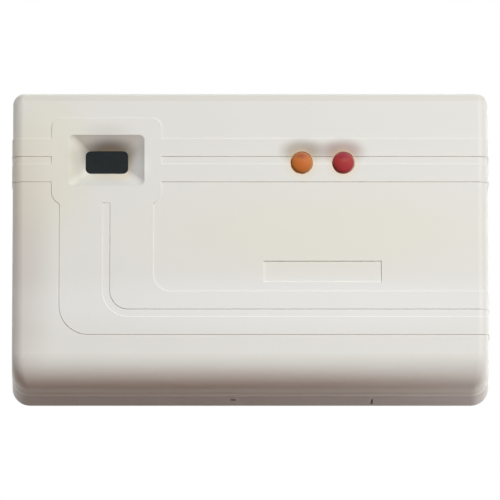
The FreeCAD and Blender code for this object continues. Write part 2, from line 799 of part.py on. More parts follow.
def make_lamp(x, z):
    tip = lamp_tip_y()
    dome_y = tip + LAMP_R
    back = lamp_back_y()
    flange_y = back - LAMP_FLANGE_HEIGHT
    shoulder = LAMP_R * math.sin(math.pi / 4)
    dome = Part.Arc(Vector(x, tip, z), Vector(x + shoulder, dome_y - shoulder, z),
                    Vector(x + LAMP_R, dome_y, z)).toShape()
    outline = [Vector(x + LAMP_R, dome_y, z), Vector(x + LAMP_R, flange_y, z),
               Vector(x + LAMP_FLANGE_R, flange_y, z), Vector(x + LAMP_FLANGE_R, back, z),
               Vector(x, back, z), Vector(x, tip, z)]
    half = Part.Face(Part.Wire([dome] + Part.makePolygon(outline).Edges))
    body = half.revolve(Vector(x, 0, z), Vector(0, 1, 0), 360)
    flat = box(x + LAMP_FLAT, x + 2 * LAMP_R, lamp_back_y() - LAMP_FLANGE_HEIGHT,
               lamp_back_y() + OVERRUN, z - LAMP_R, z + LAMP_R)
    return body.cut(flat)


def lead_boxes(x, z, grow):
    size = LAMP_LEAD + 2 * grow
    half = LAMP_LEAD_PITCH / 2
    return [centred_box(x + dx, z, size, size, lamp_back_y(), board_front_y())
            for dx in (-half, half)]


def make_lamp_leads():
    leads = []
    for x, z in lamp_places():
        leads += lead_boxes(x, z, 0.0)
    return Part.makeCompound(leads)


def make_lamp_spacer(x, z):
    spacer = rod(x, z, LAMP_FLANGE_R, lamp_back_y(), board_front_y())
    for slot in lead_boxes(x, z, SPACER_CLEARANCE):
        spacer = spacer.cut(slot)
    return spacer


# Tamper switch

def tamper_top_y():
    return board_front_y() - TAMPER_SIZE[2]


def plunger_front_y():
    return board_front_y() - TAMPER_PRESSED_HEIGHT


def tamper_flange_y():
    return tamper_top_y() + TAMPER_CHAMBER + TAMPER_TRAVEL + RUNNING_GAP


def make_tamper_switch():
    x, z = TAMPER_AT
    body = on_board(TAMPER_AT, TAMPER_SIZE)
    body = body.makeChamfer(TAMPER_EDGE, [e for e in body.Edges
                            if abs(e.CenterOfMass.y - tamper_top_y()) < NEAR])
    floor = board_front_y() - TAMPER_FLOOR
    bore = rod(x, z, PLUNGER_R + RUNNING_GAP, tamper_top_y() - OVERRUN, floor)
    chamber = rod(x, z, PLUNGER_FLANGE_R + RUNNING_GAP, tamper_top_y() + TAMPER_CHAMBER, floor)
    return body.cut(bore.fuse(chamber)).removeSplitter()


def make_tamper_plunger():
    x, z = TAMPER_AT
    flange_y = tamper_flange_y()
    stem = rod(x, z, PLUNGER_R, plunger_front_y(), flange_y)
    tip = [e for e in stem.Edges if len(e.Vertexes) == 1
           and abs(e.CenterOfMass.y - plunger_front_y()) < NEAR]
    stem = stem.makeChamfer(PLUNGER_R / 3, tip)
    flange = rod(x, z, PLUNGER_FLANGE_R, flange_y, flange_y + PLUNGER_FLANGE)
    return stem.fuse(flange).removeSplitter()


# Setting switch: the sliders that are set up rest at the top of their slots, the others at the foot

def slider_x(number):
    return DIP_AT[0] + (number - (SLIDER_COUNT + 1) / 2) * DIP_PITCH


def slider_z(number):
    up = number in SLIDERS_UP
    return DIP_AT[1] + (SLIDER_TRAVEL / 2 if up else -SLIDER_TRAVEL / 2)


def slider_numbers():
    return range(1, SLIDER_COUNT + 1)


def make_dip_switch():
    body = on_board(DIP_AT, DIP_SIZE)
    top = board_front_y() - DIP_SIZE[2]
    body = body.makeChamfer(DIP_EDGE, [e for e in body.Edges
                            if abs(e.CenterOfMass.y - top) < NEAR])
    width, height, _ = SLIDER_SIZE
    for number in slider_numbers():
        body = body.cut(centred_box(slider_x(number), DIP_AT[1], width + 2 * RUNNING_GAP,
                                    height + SLIDER_TRAVEL + 2 * RUNNING_GAP,
                                    top - OVERRUN, top + SLIDER_DEEP + RUNNING_GAP))
    return body


def make_dip_slider(number):
    width, height, tall = SLIDER_SIZE
    floor = board_front_y() - DIP_SIZE[2] + SLIDER_DEEP
    return centred_box(slider_x(number), slider_z(number), width, height, floor - tall, floor)


# Terminal block: wells for the screws in front, windows for the wires below

def terminal_z():
    return TERMINAL_TOP - TERMINAL_DEEP / 2


def terminal_places():
    first = TERMINAL_X - (TERMINAL_COUNT - 1) / 2 * TERMINAL_PITCH
    return [first + i * TERMINAL_PITCH for i in range(TERMINAL_COUNT)]


def terminal_front_y():
    return board_front_y() - TERMINAL_TALL


def make_terminal_block():
    width = TERMINAL_COUNT * TERMINAL_PITCH
    foot = TERMINAL_TOP - TERMINAL_DEEP
    front = terminal_front_y()
    back = board_front_y()
    profile = [(back, foot), (back, TERMINAL_TOP), (front + TERMINAL_STEP, TERMINAL_TOP),
               (front, TERMINAL_TOP - TERMINAL_STEP), (front, foot + TERMINAL_STEP),
               (front + TERMINAL_STEP, foot)]
    body = side_profile(profile, TERMINAL_X, width, 1)
    window_y = back - TERMINAL_WINDOW - TERMINAL_STEP / 2
    for x in terminal_places():
        body = body.cut(rod(x, terminal_z(), TERMINAL_WELL_R, front - OVERRUN, front + TERMINAL_WELL))
        body = body.cut(box(x - TERMINAL_WINDOW / 2, x + TERMINAL_WINDOW / 2, window_y,
                            window_y + TERMINAL_WINDOW, foot - OVERRUN, foot + TERMINAL_WINDOW_DEEP))
    return body


def make_terminal_screws():
    back = terminal_front_y() + TERMINAL_WELL
    front = back - TERMINAL_SCREW_HEIGHT
    slot_width, slot_depth = TERMINAL_SLOT
    screws = []
    for x in terminal_places():
        screw = rod(x, terminal_z(), TERMINAL_SCREW_R, front, back)
        slot = centred_box(x, terminal_z(), 2 * (TERMINAL_SCREW_R + OVERRUN), slot_width,
                           front - OVERRUN, front + slot_depth)
        screws.append(screw.cut(slot))
    return Part.makeCompound(screws)


def make_terminal_clamps():
    width, deep, thick = CLAMP_SIZE
    window_y = board_front_y() - TERMINAL_WINDOW - TERMINAL_STEP / 2
    top = TERMINAL_TOP - TERMINAL_DEEP + TERMINAL_WINDOW_DEEP
    return Part.makeCompound([box(x - width / 2, x + width / 2, window_y, window_y + thick,
                                  top - deep, top) for x in terminal_places()])


# Relay and chips

def make_alarm_relay():
    can = on_board(RELAY_AT, RELAY_SIZE)
    return can.makeChamfer(RELAY_EDGE, [e for e in can.Edges
                           if e.CenterOfMass.y < board_front_y() - BESIDE])


def make_chip_socket():
    x, z = SOCKET_AT
    width, height = SOCKET_WINDOW
    frame = on_board(SOCKET_AT, SOCKET_SIZE)
    for side in (-1, 1):
        frame = frame.cut(centred_box(x + side * SOCKET_WINDOW_OFF_CENTRE, z, width, height,
                                      chip_back_y() - OVERRUN, board_front_y() + OVERRUN))
    return frame


def chip_back_y():
    return board_front_y() - SOCKET_SIZE[2]


def make_controller_chip():
    x, z = SOCKET_AT
    width, height, tall = CONTROLLER_SIZE
    front = chip_back_y() - tall
    chip = centred_box(x, z, width, height, front, chip_back_y())
    chip = chip.cut(rod(x - width / 2, z, CONTROLLER_NOTCH, front - OVERRUN, front + CONTROLLER_NOTCH))
    return chip


def make_controller_legs():
    x, z = SOCKET_AT
    _, height, tall = CONTROLLER_SIZE
    legs = []
    for i in range(CONTROLLER_LEGS):
        leg_x = x + (i - (CONTROLLER_LEGS - 1) / 2) * LEG_PITCH
        for side in (-1, 1):
            near = z + side * height / 2
            far = z + side * (height / 2 + LEG_OUT)
            legs.append(box(leg_x - LEG_WIDTH / 2, leg_x + LEG_WIDTH / 2,
                            chip_back_y() - tall / 2, chip_back_y(), min(near, far), max(near, far)))
    return Part.makeCompound(legs)


def make_amplifier_chip():
    return on_board(AMPLIFIER_AT, AMPLIFIER_SIZE)


def make_amplifier_legs():
    x, z = AMPLIFIER_AT
    _, height, tall = AMPLIFIER_SIZE
    foot = AMPLIFIER_FOOT
    reach = AMPLIFIER_LEG_OUT
    legs = []
    for i in range(AMPLIFIER_LEGS):
        leg_x = x + (i - (AMPLIFIER_LEGS - 1) / 2) * AMPLIFIER_PITCH
        for side in (-1, 1):
            near = height / 2
            profile = [(0.0, near + reach), (0.0, near + reach / 3), (tall / 2, near),
                       (tall / 2 + foot, near), (foot, near + reach / 2), (foot, near + reach)]
            points = [(board_front_y() - y, z + side * dz) for y, dz in profile]
            legs.append(side_profile(points, leg_x, AMPLIFIER_PITCH / 3, 1))
    return Part.makeCompound(legs)


# Small parts of the circuit

def make_electrolytic_capacitors():
    cans = []
    for can_size in (BIG_CAN, MIDDLE_CAN, SMALL_CAN):
        front = board_front_y() - can_size["tall"]
        can = rod(can_size["x"], ELECTROLYTIC_Z, can_size["radius"], front, board_front_y())
        rim = [e for e in can.Edges if len(e.Vertexes) == 1 and abs(e.CenterOfMass.y - front) < NEAR]
        cans.append(can.makeChamfer(ELECTROLYTIC_RIM, rim))
    return Part.makeCompound(cans)


def standing_disc(x, z, radius, thickness):
    y = board_front_y() - DISC_LEAD - radius
    disc = pipe_along_x(x - thickness / 2, x + thickness / 2, y, z, radius)
    disc = disc.makeChamfer(thickness / 3, [e for e in disc.Edges if len(e.Vertexes) == 1])
    legs = [rod(x, z + side * radius / 2, WIRE_R, y, board_front_y()) for side in (-1, 1)]
    return disc.multiFuse(legs).removeSplitter()


def make_ceramic_capacitors():
    return Part.makeCompound([standing_disc(DISC_X, BOARD_BOTTOM + DISC_FROM_FOOT + i * DISC_PITCH,
                                            DISC_R, DISC_THICKNESS) for i in range(DISC_COUNT)])


def make_surge_varistor():
    return standing_disc(*VARISTOR_AT, VARISTOR_R, VARISTOR_THICKNESS)


def resistor_heights():
    return [BOARD_BOTTOM + RESISTOR_FROM_FOOT + i * RESISTOR_PITCH for i in range(RESISTOR_COUNT)]


def diode_heights():
    return [BOARD_BOTTOM + DIODE_FROM_FOOT + i * DIODE_PITCH for i in range(DIODE_COUNT)]


def make_resistors():
    y = board_front_y() - RESISTOR_OFF_BOARD
    cap = RESISTOR_LENGTH / 4
    bodies = []
    for z in resistor_heights():
        left = RESISTOR_X - RESISTOR_LENGTH / 2
        right = RESISTOR_X + RESISTOR_LENGTH / 2
        waist = pipe_along_x(left, right, y, z, RESISTOR_WAIST_R)
        ends = [pipe_along_x(left, left + cap, y, z, RESISTOR_R),
                pipe_along_x(right - cap, right, y, z, RESISTOR_R)]
        bodies.append(waist.multiFuse(ends).removeSplitter())
    return Part.makeCompound(bodies)


def bent_wire(inner_x, outer_x, y, z):
    start = Vector(inner_x, y, z)
    corner = Vector(outer_x, y, z)
    foot = Vector(outer_x, board_front_y(), z)
    path = Part.Wire([Part.LineSegment(start, corner).toShape(),
                      Part.LineSegment(corner, foot).toShape()])
    section = Part.Wire(Part.makeCircle(WIRE_R, start, corner - start))
    mitred = 1
    return path.makePipeShell([section], True, False, mitred)


def bent_leads(x, z, body_length, span, off_board):
    y = board_front_y() - off_board
    leads = []
    for side in (-1, 1):
        inner = x + side * body_length / 2
        outer = x + side * span / 2
        leads.append(bent_wire(inner, outer, y, z))
    return leads


def make_circuit_leads():
    leads = []
    for z in resistor_heights():
        leads += bent_leads(RESISTOR_X, z, RESISTOR_LENGTH, RESISTOR_SPAN, RESISTOR_OFF_BOARD)
    for z in diode_heights():
        leads += bent_leads(DIODE_X, z, DIODE_LENGTH, RESISTOR_SPAN, RESISTOR_OFF_BOARD)
    return Part.makeCompound(leads)


def make_diodes():
    y = board_front_y() - RESISTOR_OFF_BOARD
    return Part.makeCompound([pipe_along_x(DIODE_X - DIODE_LENGTH / 2, DIODE_X + DIODE_LENGTH / 2,
                                           y, z, DIODE_R) for z in diode_heights()])


def make_crystal_can():
    x, z = CRYSTAL_AT
    width, height, tall = CRYSTAL_SIZE
    front = board_front_y() - tall
    can = centred_plate(x, z, width, height, front, board_front_y(), height / 2 - CRYSTAL_RIM)
    base = centred_plate(x, z, width + 2 * CRYSTAL_RIM, height + 2 * CRYSTAL_RIM,
                         board_front_y() - CRYSTAL_RIM_HEIGHT, board_front_y(), height / 2)
    return can.fuse(base).removeSplitter()


def make_voltage_regulator():
    body = on_board(REGULATOR_AT, REGULATOR_SIZE)
    x, z = REGULATOR_AT
    width, height, tall = REGULATOR_SIZE
    front = board_front_y() - tall
    tab = centred_box(x, z + (height - TAB_THICKNESS) / 2, width, TAB_THICKNESS,
                      front - TAB_LENGTH, front)
    hole = pipe_along_z(x, front - TAB_LENGTH / 2, z, z + height, TAB_HOLE_R)
    return body.fuse(tab).cut(hole).removeSplitter()


# Test jumper

def jumper_pin_places():
    x, z = JUMPER_AT
    return [(x + (i - (JUMPER_PINS - 1) / 2) * LEG_PITCH, z) for i in range(JUMPER_PINS)]


def make_jumper_header():
    width = JUMPER_PINS * LEG_PITCH
    header = on_board(JUMPER_AT, (width, LEG_PITCH, LEG_PITCH))
    for x, z in jumper_pin_places():
        header = header.cut(centred_box(x, z, JUMPER_PIN, JUMPER_PIN,
                                        board_front_y() - JUMPER_PIN_HEIGHT, board_front_y() + OVERRUN))
    return header


def make_jumper_pins():
    return Part.makeCompound([centred_box(x, z, JUMPER_PIN, JUMPER_PIN,
                                          board_front_y() - JUMPER_PIN_HEIGHT, board_front_y())
                              for x, z in jumper_pin_places()])


def make_jumper_shunt():
    pins = jumper_pin_places()[:2]
    x = (pins[0][0] + pins[1][0]) / 2
    z = JUMPER_AT[1]
    back = board_front_y() - LEG_PITCH
    shunt = centred_box(x, z, 2 * LEG_PITCH - JUMPER_SHUNT_SMALLER, LEG_PITCH - JUMPER_SHUNT_SMALLER,
                        back - JUMPER_SHUNT_HEIGHT, back)
    for pin_x, pin_z in pins:
        shunt = shunt.cut(centred_box(pin_x, pin_z, JUMPER_PIN, JUMPER_PIN,
                                      board_front_y() - JUMPER_PIN_HEIGHT, back + OVERRUN))
    return shunt


def make_pieces():
    amber, red = lamp_places()
    pieces = {
        "front_cover": make_front_cover(),
        "rear_base": make_rear_base(),
        "horn_foam": make_horn_foam(),
        "microphone_boot": make_microphone_boot(),
        "microphone_capsule": make_microphone_capsule(),
        "amber_lamp": make_lamp(*amber),
        "red_lamp": make_lamp(*red),
        "amber_lamp_spacer": make_lamp_spacer(*amber),
        "red_lamp_spacer": make_lamp_spacer(*red),
        "lamp_leads": make_lamp_leads(),
        "circuit_board": make_circuit_board(),
        "board_screws": make_board_screws(),
        "terminal_block": make_terminal_block(),
        "terminal_screws": make_terminal_screws(),
        "terminal_clamps": make_terminal_clamps(),
        "alarm_relay": make_alarm_relay(),
        "tamper_switch": make_tamper_switch(),
        "tamper_plunger": make_tamper_plunger(),
        "dip_switch": make_dip_switch(),
        "chip_socket": make_chip_socket(),
        "controller_chip": make_controller_chip(),
        "controller_legs": make_controller_legs(),
        "amplifier_chip": make_amplifier_chip(),
        "amplifier_legs": make_amplifier_legs(),
        "electrolytic_capacitors": make_electrolytic_capacitors(),
        "ceramic_capacitors": make_ceramic_capacitors(),
        "resistors": make_resistors(),
        "diodes": make_diodes(),
        "circuit_leads": make_circuit_leads(),
        "crystal_can": make_crystal_can(),
        "voltage_regulator": make_voltage_regulator(),
        "surge_varistor": make_surge_varistor(),
        "jumper_header": make_jumper_header(),
        "jumper_pins": make_jumper_pins(),
        "jumper_shunt": make_jumper_shunt(),
    }
    for number in slider_numbers():
        pieces[f"dip_slider_{number}"] = make_dip_slider(number)
    return pieces


def main():
    os.makedirs("parts", exist_ok=True)
    for name, shape in make_pieces().items():
        print(name, len(shape.Solids), "solids", round(shape.Volume, 1), "mm3", shape.isValid())
        shape.exportStep(f"parts/{name}.step")


if __name__ == "__main__":
    main()
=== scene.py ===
import math
from typing import NamedTuple

import bmesh
import bpy
from bpy.props import FloatProperty, FloatVectorProperty, PointerProperty
from mathutils import Matrix, Vector


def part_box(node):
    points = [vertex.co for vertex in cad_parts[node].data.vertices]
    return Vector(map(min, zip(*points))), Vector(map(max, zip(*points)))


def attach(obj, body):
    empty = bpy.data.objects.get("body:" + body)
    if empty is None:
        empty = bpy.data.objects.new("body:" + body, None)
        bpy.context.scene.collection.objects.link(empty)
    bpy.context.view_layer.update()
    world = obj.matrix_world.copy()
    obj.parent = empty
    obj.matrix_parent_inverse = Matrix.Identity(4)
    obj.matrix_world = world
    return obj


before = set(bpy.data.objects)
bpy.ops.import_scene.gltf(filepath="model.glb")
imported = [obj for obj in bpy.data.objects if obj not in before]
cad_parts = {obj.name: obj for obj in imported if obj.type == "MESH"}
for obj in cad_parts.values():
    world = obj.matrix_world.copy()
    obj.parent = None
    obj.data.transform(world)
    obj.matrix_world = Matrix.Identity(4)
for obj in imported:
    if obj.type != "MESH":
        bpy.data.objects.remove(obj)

bl_info = {
    "name": "Glass Break Sensor Look",
    "version": (1, 0, 0),
    "blender": (4, 5, 0),
    "location": "3D View > Sidebar > Sensor",
    "description": "Finishes, small parts and studio for a wall-mounted glass break sensor",
    "category": "Object",
}

# Everything is in metres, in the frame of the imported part: +X right, +Z up, and the front looks
# along -Y. The scale of a pattern is in repeats per metre.
MM = 0.001

LAMPS = ("amber_lamp", "red_lamp")
# A lamp's flange is cut flat on its right, so its box isn't centred on the lamp's axis.
LAMP_FLANGE_RADIUS = 2.9 * MM
LAMP_STANDS_OUT = 1.9 * MM
# Pitch of the legs of chips, switches and lamps.
LEG_PITCH = 2.54 * MM
# How far trim, paint and pads reach into what carries them, so that no gap shows.
SINK = 0.02 * MM
# The colour sockets of a Mix node, which has others for plain values and vectors.
MIX_FACTOR, MIX_FIRST, MIX_SECOND, MIX_RESULT = 0, 6, 7, 2


def mm(*lengths):
    """Millimetres as metres."""
    return tuple(length * MM for length in lengths)


def shifted(place, *offset):
    """A place moved by millimetres along X, Y and Z."""
    return tuple(start + step * MM for start, step in zip(place, offset))


def srgb(red, green, blue, alpha=1.0):
    """A colour written in 0-255 screen values, as the linear values that shaders take."""
    def linear(v):
        v = v / 255
        return v / 12.92 if v <= 0.04045 else ((v + 0.055) / 1.055) ** 2.4
    return linear(red), linear(green), linear(blue), alpha


# Materials

class Veil(NamedTuple):
    """A soft patch of another colour inside an ellipsoid, in millimetres from some origin."""
    name: str
    tint: tuple
    strength: float
    offset: tuple
    radii: tuple


class Finish(NamedTuple):
    """The look of one of the two parts of a material."""
    color: tuple
    roughness: float
    metalness: float = 0.0


class Nodes:
    """A node tree under construction."""

    def __init__(self, tree):
        self.tree = tree

    def add(self, kind, inputs=(), **settings):
        """A new node. Each input is a socket to link from, or a plain value."""
        node = self.tree.nodes.new(kind)
        for key, value in settings.items():
            setattr(node, key, value)
        for key, value in dict(inputs).items():
            if isinstance(value, bpy.types.NodeSocket):
                self.tree.links.new(value, node.inputs[key])
            else:
                node.inputs[key].default_value = value
        return node

    def math(self, operation, first, second):
        return self.add("ShaderNodeMath", {0: first, 1: second}, operation=operation).outputs[0]

    def vector(self, operation, *inputs):
        return self.add("ShaderNodeVectorMath", dict(enumerate(inputs)), operation=operation).outputs

    def spread(self, value, low, high, smooth=False, ends=(0.0, 1.0)):
        """A value that runs between two ends, brought to run from low to high."""
        kind = "SMOOTHSTEP" if smooth else "LINEAR"
        return self.add("ShaderNodeMapRange",
                        {"Value": value, "From Min": ends[0], "From Max": ends[1],
                         "To Min": low, "To Max": high}, interpolation_type=kind).outputs["Result"]

    def blend(self, factor, first, second, mode="MIX"):
        """The first colour where the factor is 0 and the second where it is 1."""
        return self.add("ShaderNodeMix",
                        {MIX_FACTOR: factor, MIX_FIRST: first, MIX_SECOND: second},
                        data_type="RGBA", blend_type=mode).outputs[MIX_RESULT]

    def seen_directly(self):
        """1 for camera, glossy and transmission rays, and 0 for the rays that light the object."""
        path = self.add("ShaderNodeLightPath").outputs
        seen = path["Is Camera Ray"]
        for ray in ("Is Glossy Ray", "Is Transmission Ray"):
            seen = self.math("MAXIMUM", seen, path[ray])
        return seen

    def show(self, output, factor, unseen, seen):
        """Send one of two shaders to the tree's output: unseen at factor 0, and seen at 1."""
        both = self.add("ShaderNodeMixShader", {0: factor, 1: unseen, 2: seen}).outputs[0]
        self.tree.links.new(both, self.tree.nodes[output].inputs["Surface"])


class Shader(Nodes):
    """A material under construction, with its Principled shader at hand."""

    NOISE_DETAIL = 3.0
    BEVEL_SAMPLES = 6

    def __init__(self, name, color, roughness, **sockets):
        self.material = bpy.data.materials.new(name)
        self.material.use_nodes = True
        super().__init__(self.material.node_tree)
        self.bsdf = self.tree.nodes["Principled BSDF"]
        self.bsdf.inputs["Base Color"].default_value = color
        self.bsdf.inputs["Roughness"].default_value = roughness
        for key, value in sockets.items():
            self.bsdf.inputs[key.replace("_", " ")].default_value = value
        self.color = color
        self.place = self.add("ShaderNodeTexCoord").outputs["Object"]

    def plug(self, value, socket):
        """Link a value to a socket of the Principled shader."""
        self.tree.links.new(value, self.bsdf.inputs[socket])

    def noise(self, scale):
        """A cloudy pattern that is fixed to the object."""
        return self.add("ShaderNodeTexNoise", {"Vector": self.place, "Scale": scale,
                                               "Detail": self.NOISE_DETAIL}).outputs["Fac"]

    def oval(self, centre, radii):
        """1 in the core of an ellipsoid, smoothly down to 0 at its surface."""
        core = 0.25
        off = self.vector("SUBTRACT", self.place, centre)[0]
        scaled = self.vector("MULTIPLY", off, [1 / radius for radius in radii])[0]
        length = self.vector("LENGTH", scaled)["Value"]
        return self.spread(length, 1.0, 0.0, smooth=True, ends=(core, 1.0))

    def tint(self, mask, color, mode="MIX"):
        """Another colour where the mask is 1."""
        self.color = self.blend(mask, self.color, color, mode)
        self.plug(self.color, "Base Color")

    def draw(self, veil, origin, share=1.0):
        """Lay a veil over the colour, at a share of its strength."""
        mask = self.oval(shifted(origin, *veil.offset), mm(*veil.radii))
        self.tint(self.spread(mask, 0.0, veil.strength * share), veil.tint)
        self.color.node.label = veil.name

    def uneven(self, amount, scale):
        """A faint unevenness of gloss, and a third of it in tone, as a moulded surface has."""
        noise = self.noise(scale)
        rough = self.bsdf.inputs["Roughness"].default_value
        self.plug(self.spread(noise, rough * (1 - amount), min(1.0, rough * (1 + amount))),
                  "Roughness")
        tone = self.spread(noise, 1 - amount / 3, 1 + amount / 3)
        shade = self.add("ShaderNodeCombineColor", {0: tone, 1: tone, 2: tone}).outputs[0]
        self.tint(1.0, shade, "MULTIPLY")

    def grain(self, scale, depth, round_off=0.0, cells=False):
        """A fine surface relief, over edges rounded off by a small radius."""
        if cells:
            height = self.add("ShaderNodeTexVoronoi",
                              {"Vector": self.place, "Scale": scale}).outputs["Distance"]
        else:
            height = self.noise(scale)
        bump = self.add("ShaderNodeBump", {"Height": height, "Distance": depth, "Strength": 1.0})
        if round_off:
            soft = self.add("ShaderNodeBevel", {"Radius": round_off}, samples=self.BEVEL_SAMPLES)
            self.tree.links.new(soft.outputs[0], bump.inputs["Normal"])
        self.plug(bump.outputs[0], "Normal")

    def lean_forward(self, amount):
        """Shade the surface as if it looked more to the front than it does."""
        ahead = self.add("ShaderNodeVectorTransform", {0: (0.0, -amount, 0.0)},
                         vector_type="VECTOR", convert_from="OBJECT",
                         convert_to="WORLD").outputs[0]
        normal = self.add("ShaderNodeNewGeometry").outputs["Normal"]
        self.plug(self.vector("NORMALIZE", self.vector("ADD", normal, ahead)[0])[0], "Normal")


def moulded(name, color, roughness, grain_depth, veils=(), painted_light_shade_and_tone=1.0):
    """Moulded plastic with a fine texture, under veils of colour that come with their origins; on
    the cover most of them are painted shade and light.
    """
    shader = Shader(name, color, roughness, Specular_IOR_Level=0.45)
    shader.uneven(0.06, scale=60.0)
    for veil, origin in veils:
        shader.draw(veil, origin, painted_light_shade_and_tone)
    shader.grain(2600.0, grain_depth, round_off=0.12 * MM)
    return shader.material


def smooth_plastic(name, color, roughness, coat=0.0):
    """Plastic or lacquer with hardly any texture, under a clear coat of some weight."""
    shader = Shader(name, color, roughness, Coat_Weight=coat, Coat_Roughness=0.1)
    shader.uneven(0.12, scale=180.0)
    shader.grain(1800.0, depth=0.004 * MM, round_off=0.08 * MM)
    return shader.material


def metal(name, color, roughness):
    """Bare metal with fine flaws."""
    shader = Shader(name, color, roughness, Metallic=1.0)
    shader.uneven(0.2, scale=300.0)
    shader.grain(900.0, depth=0.003 * MM, round_off=0.06 * MM)
    return shader.material


def soft(name, color, tone_scale, grain_scale, depth, cells=False, **sockets):
    """Foam, with cells in its surface, or felt."""
    shader = Shader(name, color, 0.95, **sockets)
    shader.uneven(0.3, tone_scale)
    shader.grain(grain_scale, depth, cells=cells)
    return shader.material


def resin(name, color, clearness, place):
    """Tinted resin that lets light spread inside it and shades like a flatter dome.

    The metal frame inside shows as a darker patch, with a painted light spot below it. The rim next
    to the cover is painted paler, as a ring of light."""
    shader = Shader(name, color, 0.5, IOR=1.52, Transmission_Weight=clearness,
                    Subsurface_Weight=0.8, Subsurface_Scale=4.0 * MM,
                    Subsurface_Radius=(1.0, 0.8, 0.6), Specular_IOR_Level=0.1)
    shader.uneven(0.08, scale=400.0)
    shader.lean_forward(1.4)
    shader.draw(Veil("frame inside", srgb(128, 52, 74), 0.55, (0, 0, 1.3), (2.0, 4.0, 1.1)), place)
    # A painted light spot in the resin, below the frame's patch.
    shader.draw(Veil("painted light spot below it", srgb(236, 170, 110), 0.1, (0, 0, 0.3), (1.5, 4.0, 0.8)), place)
    # A painted ring of light on the rim next to the cover, fading inwards.
    rim_light_strength, rim_ends_at, rim_light_share = 0.8, 0.12, 0.7
    thick = shader.oval(place, mm(2.6, 90.0, 2.6))
    thin = shader.spread(thick, rim_light_strength, 0.0, smooth=True, ends=(0.0, rim_ends_at))
    near_cover = shader.oval(place, mm(6.0, 1.6, 6.0))
    pale = [1 - rim_light_share * (1 - channel) for channel in color]
    shader.tint(shader.math("MULTIPLY", thin, near_cover), pale)
    return shader.material


def two_part(name, first, second, mask_of):
    """One material with the first finish where the mask is 0 and the second where it is 1."""
    shader = Shader(name, first.color, first.roughness)
    mask = mask_of(shader)
    shader.plug(shader.blend(mask, first.color, second.color), "Base Color")
    shader.plug(shader.spread(mask, first.roughness, second.roughness), "Roughness")
    shader.plug(shader.spread(mask, first.metalness, second.metalness), "Metallic")
    shader.grain(1500.0, depth=0.004 * MM, round_off=0.06 * MM)
    return shader.material


def split_at(limit, in_front=False):
    """A mask that is 1 behind a plane across Y, or in front of it."""
    def mask(shader):
        y = shader.add("ShaderNodeSeparateXYZ", {0: shader.place}).outputs["Y"]
        return shader.math("LESS_THAN" if in_front else "GREATER_THAN", y, limit)
    return mask


def facing_front(shader):
    """A mask that is 1 on faces that look along -Y, give or take 14 degrees."""
    limit = -0.97
    normal = shader.add("ShaderNodeNewGeometry").outputs["True Normal"]
    side = shader.add("ShaderNodeVectorTransform", {0: normal}, vector_type="NORMAL",
                      convert_from="WORLD", convert_to="OBJECT").outputs[0]
    y = shader.add("ShaderNodeSeparateXYZ", {0: side}).outputs["Y"]
    return shader.math("LESS_THAN", y, limit)


def dress(material, *names):
    """Give CAD nodes their material."""
    for name in names:
        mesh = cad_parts[name].data
        mesh.materials.clear()
        mesh.materials.append(material)


# What the solids of the CAD nodes say about their places

def corners(name):
    """The lowest and the highest corner of a CAD node."""
    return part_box(name)


def middle(low, high):
    """The middle of a box seen from the front, as X and Z."""
    return (low.x + high.x) / 2, (low.z + high.z) / 2


def loose_boxes(name):
    """The boxes of the separate solids of a CAD node, from left to right."""
    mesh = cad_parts[name].data
    # Vertices at one place, to the micrometre, belong to one solid.
    spots, index = {}, []
    for v in mesh.vertices:
        index.append(spots.setdefault(tuple(round(c * 1e6) for c in v.co), len(spots)))
    root = list(range(len(spots)))

    def find(i):
        while root[i] != i:
            root[i] = root[root[i]]
            i = root[i]
        return i

    for face in mesh.polygons:
        first = find(index[face.vertices[0]])
        for i in face.vertices[1:]:
            root[find(index[i])] = first
    boxes = {}
    for v, i in zip(mesh.vertices, index):
        low, high = boxes.setdefault(find(i), (v.co.copy(), v.co.copy()))
        for k in range(3):
            low[k] = min(low[k], v.co[k])
            high[k] = max(high[k], v.co[k])
    found = sorted(boxes.values(), key=lambda box: (round(box[0].x, 4), round(box[0].z, 4)))
    if not found:
        raise RuntimeError(f"{name} holds no solid")
    return found


def lamp_place(name):
    """Where a lamp's axis meets the face of the cover."""
    low, high = corners(name)
    return low.x + LAMP_FLANGE_RADIUS, low.y + LAMP_STANDS_OUT, (low.z + high.z) / 2


def board_front():
    """The level of the board's face towards the cover."""
    return corners("circuit_board")[0].y


# Meshes of the added pieces

def finish_piece(name, mesh, materials, body="housing", smooth=False):
    """Turn a mesh into a named piece that rides on a body."""
    data = bpy.data.meshes.new(name)
    bmesh.ops.recalc_face_normals(mesh, faces=mesh.faces)
    mesh.to_mesh(data)
    mesh.free()
    for material in materials:
        data.materials.append(material)
    obj = bpy.data.objects.new(name, data)
    bpy.context.scene.collection.objects.link(obj)
    if smooth:
        data.shade_smooth()
    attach(obj, body)


def turns(sides):
    """The angles of the corners of a circle."""
    return [2 * math.pi * i / sides for i in range(sides)]


def circle_in_front(mesh, x, y, z, radius, sides):
    """A circle of vertices about an axis along Y."""
    return [mesh.verts.new((x + radius * math.cos(a), y, z + radius * math.sin(a)))
            for a in turns(sides)]


def close_loops(mesh, loops, index=0):
    """Faces from each loop of vertices to the next, and from the last to the first."""
    for here, there in zip(loops, loops[1:] + loops[:1]):
        for i in range(len(here)):
            j = (i + 1) % len(here)
            mesh.faces.new((here[i], here[j], there[j], there[i])).material_index = index


def close_prism(mesh, near, far):
    """The faces of a prism between two outlines of vertices."""
    mesh.faces.new(near)
    mesh.faces.new(far[::-1])
    for i in range(len(near)):
        j = (i + 1) % len(near)
        mesh.faces.new((near[i], far[i], far[j], near[j]))


def add_prism(mesh, outline, y_front, y_back):
    """A closed prism along Y over an outline of X and Z pairs."""
    close_prism(mesh, *([mesh.verts.new((x, y, z)) for x, z in outline]
                        for y in (y_front, y_back)))


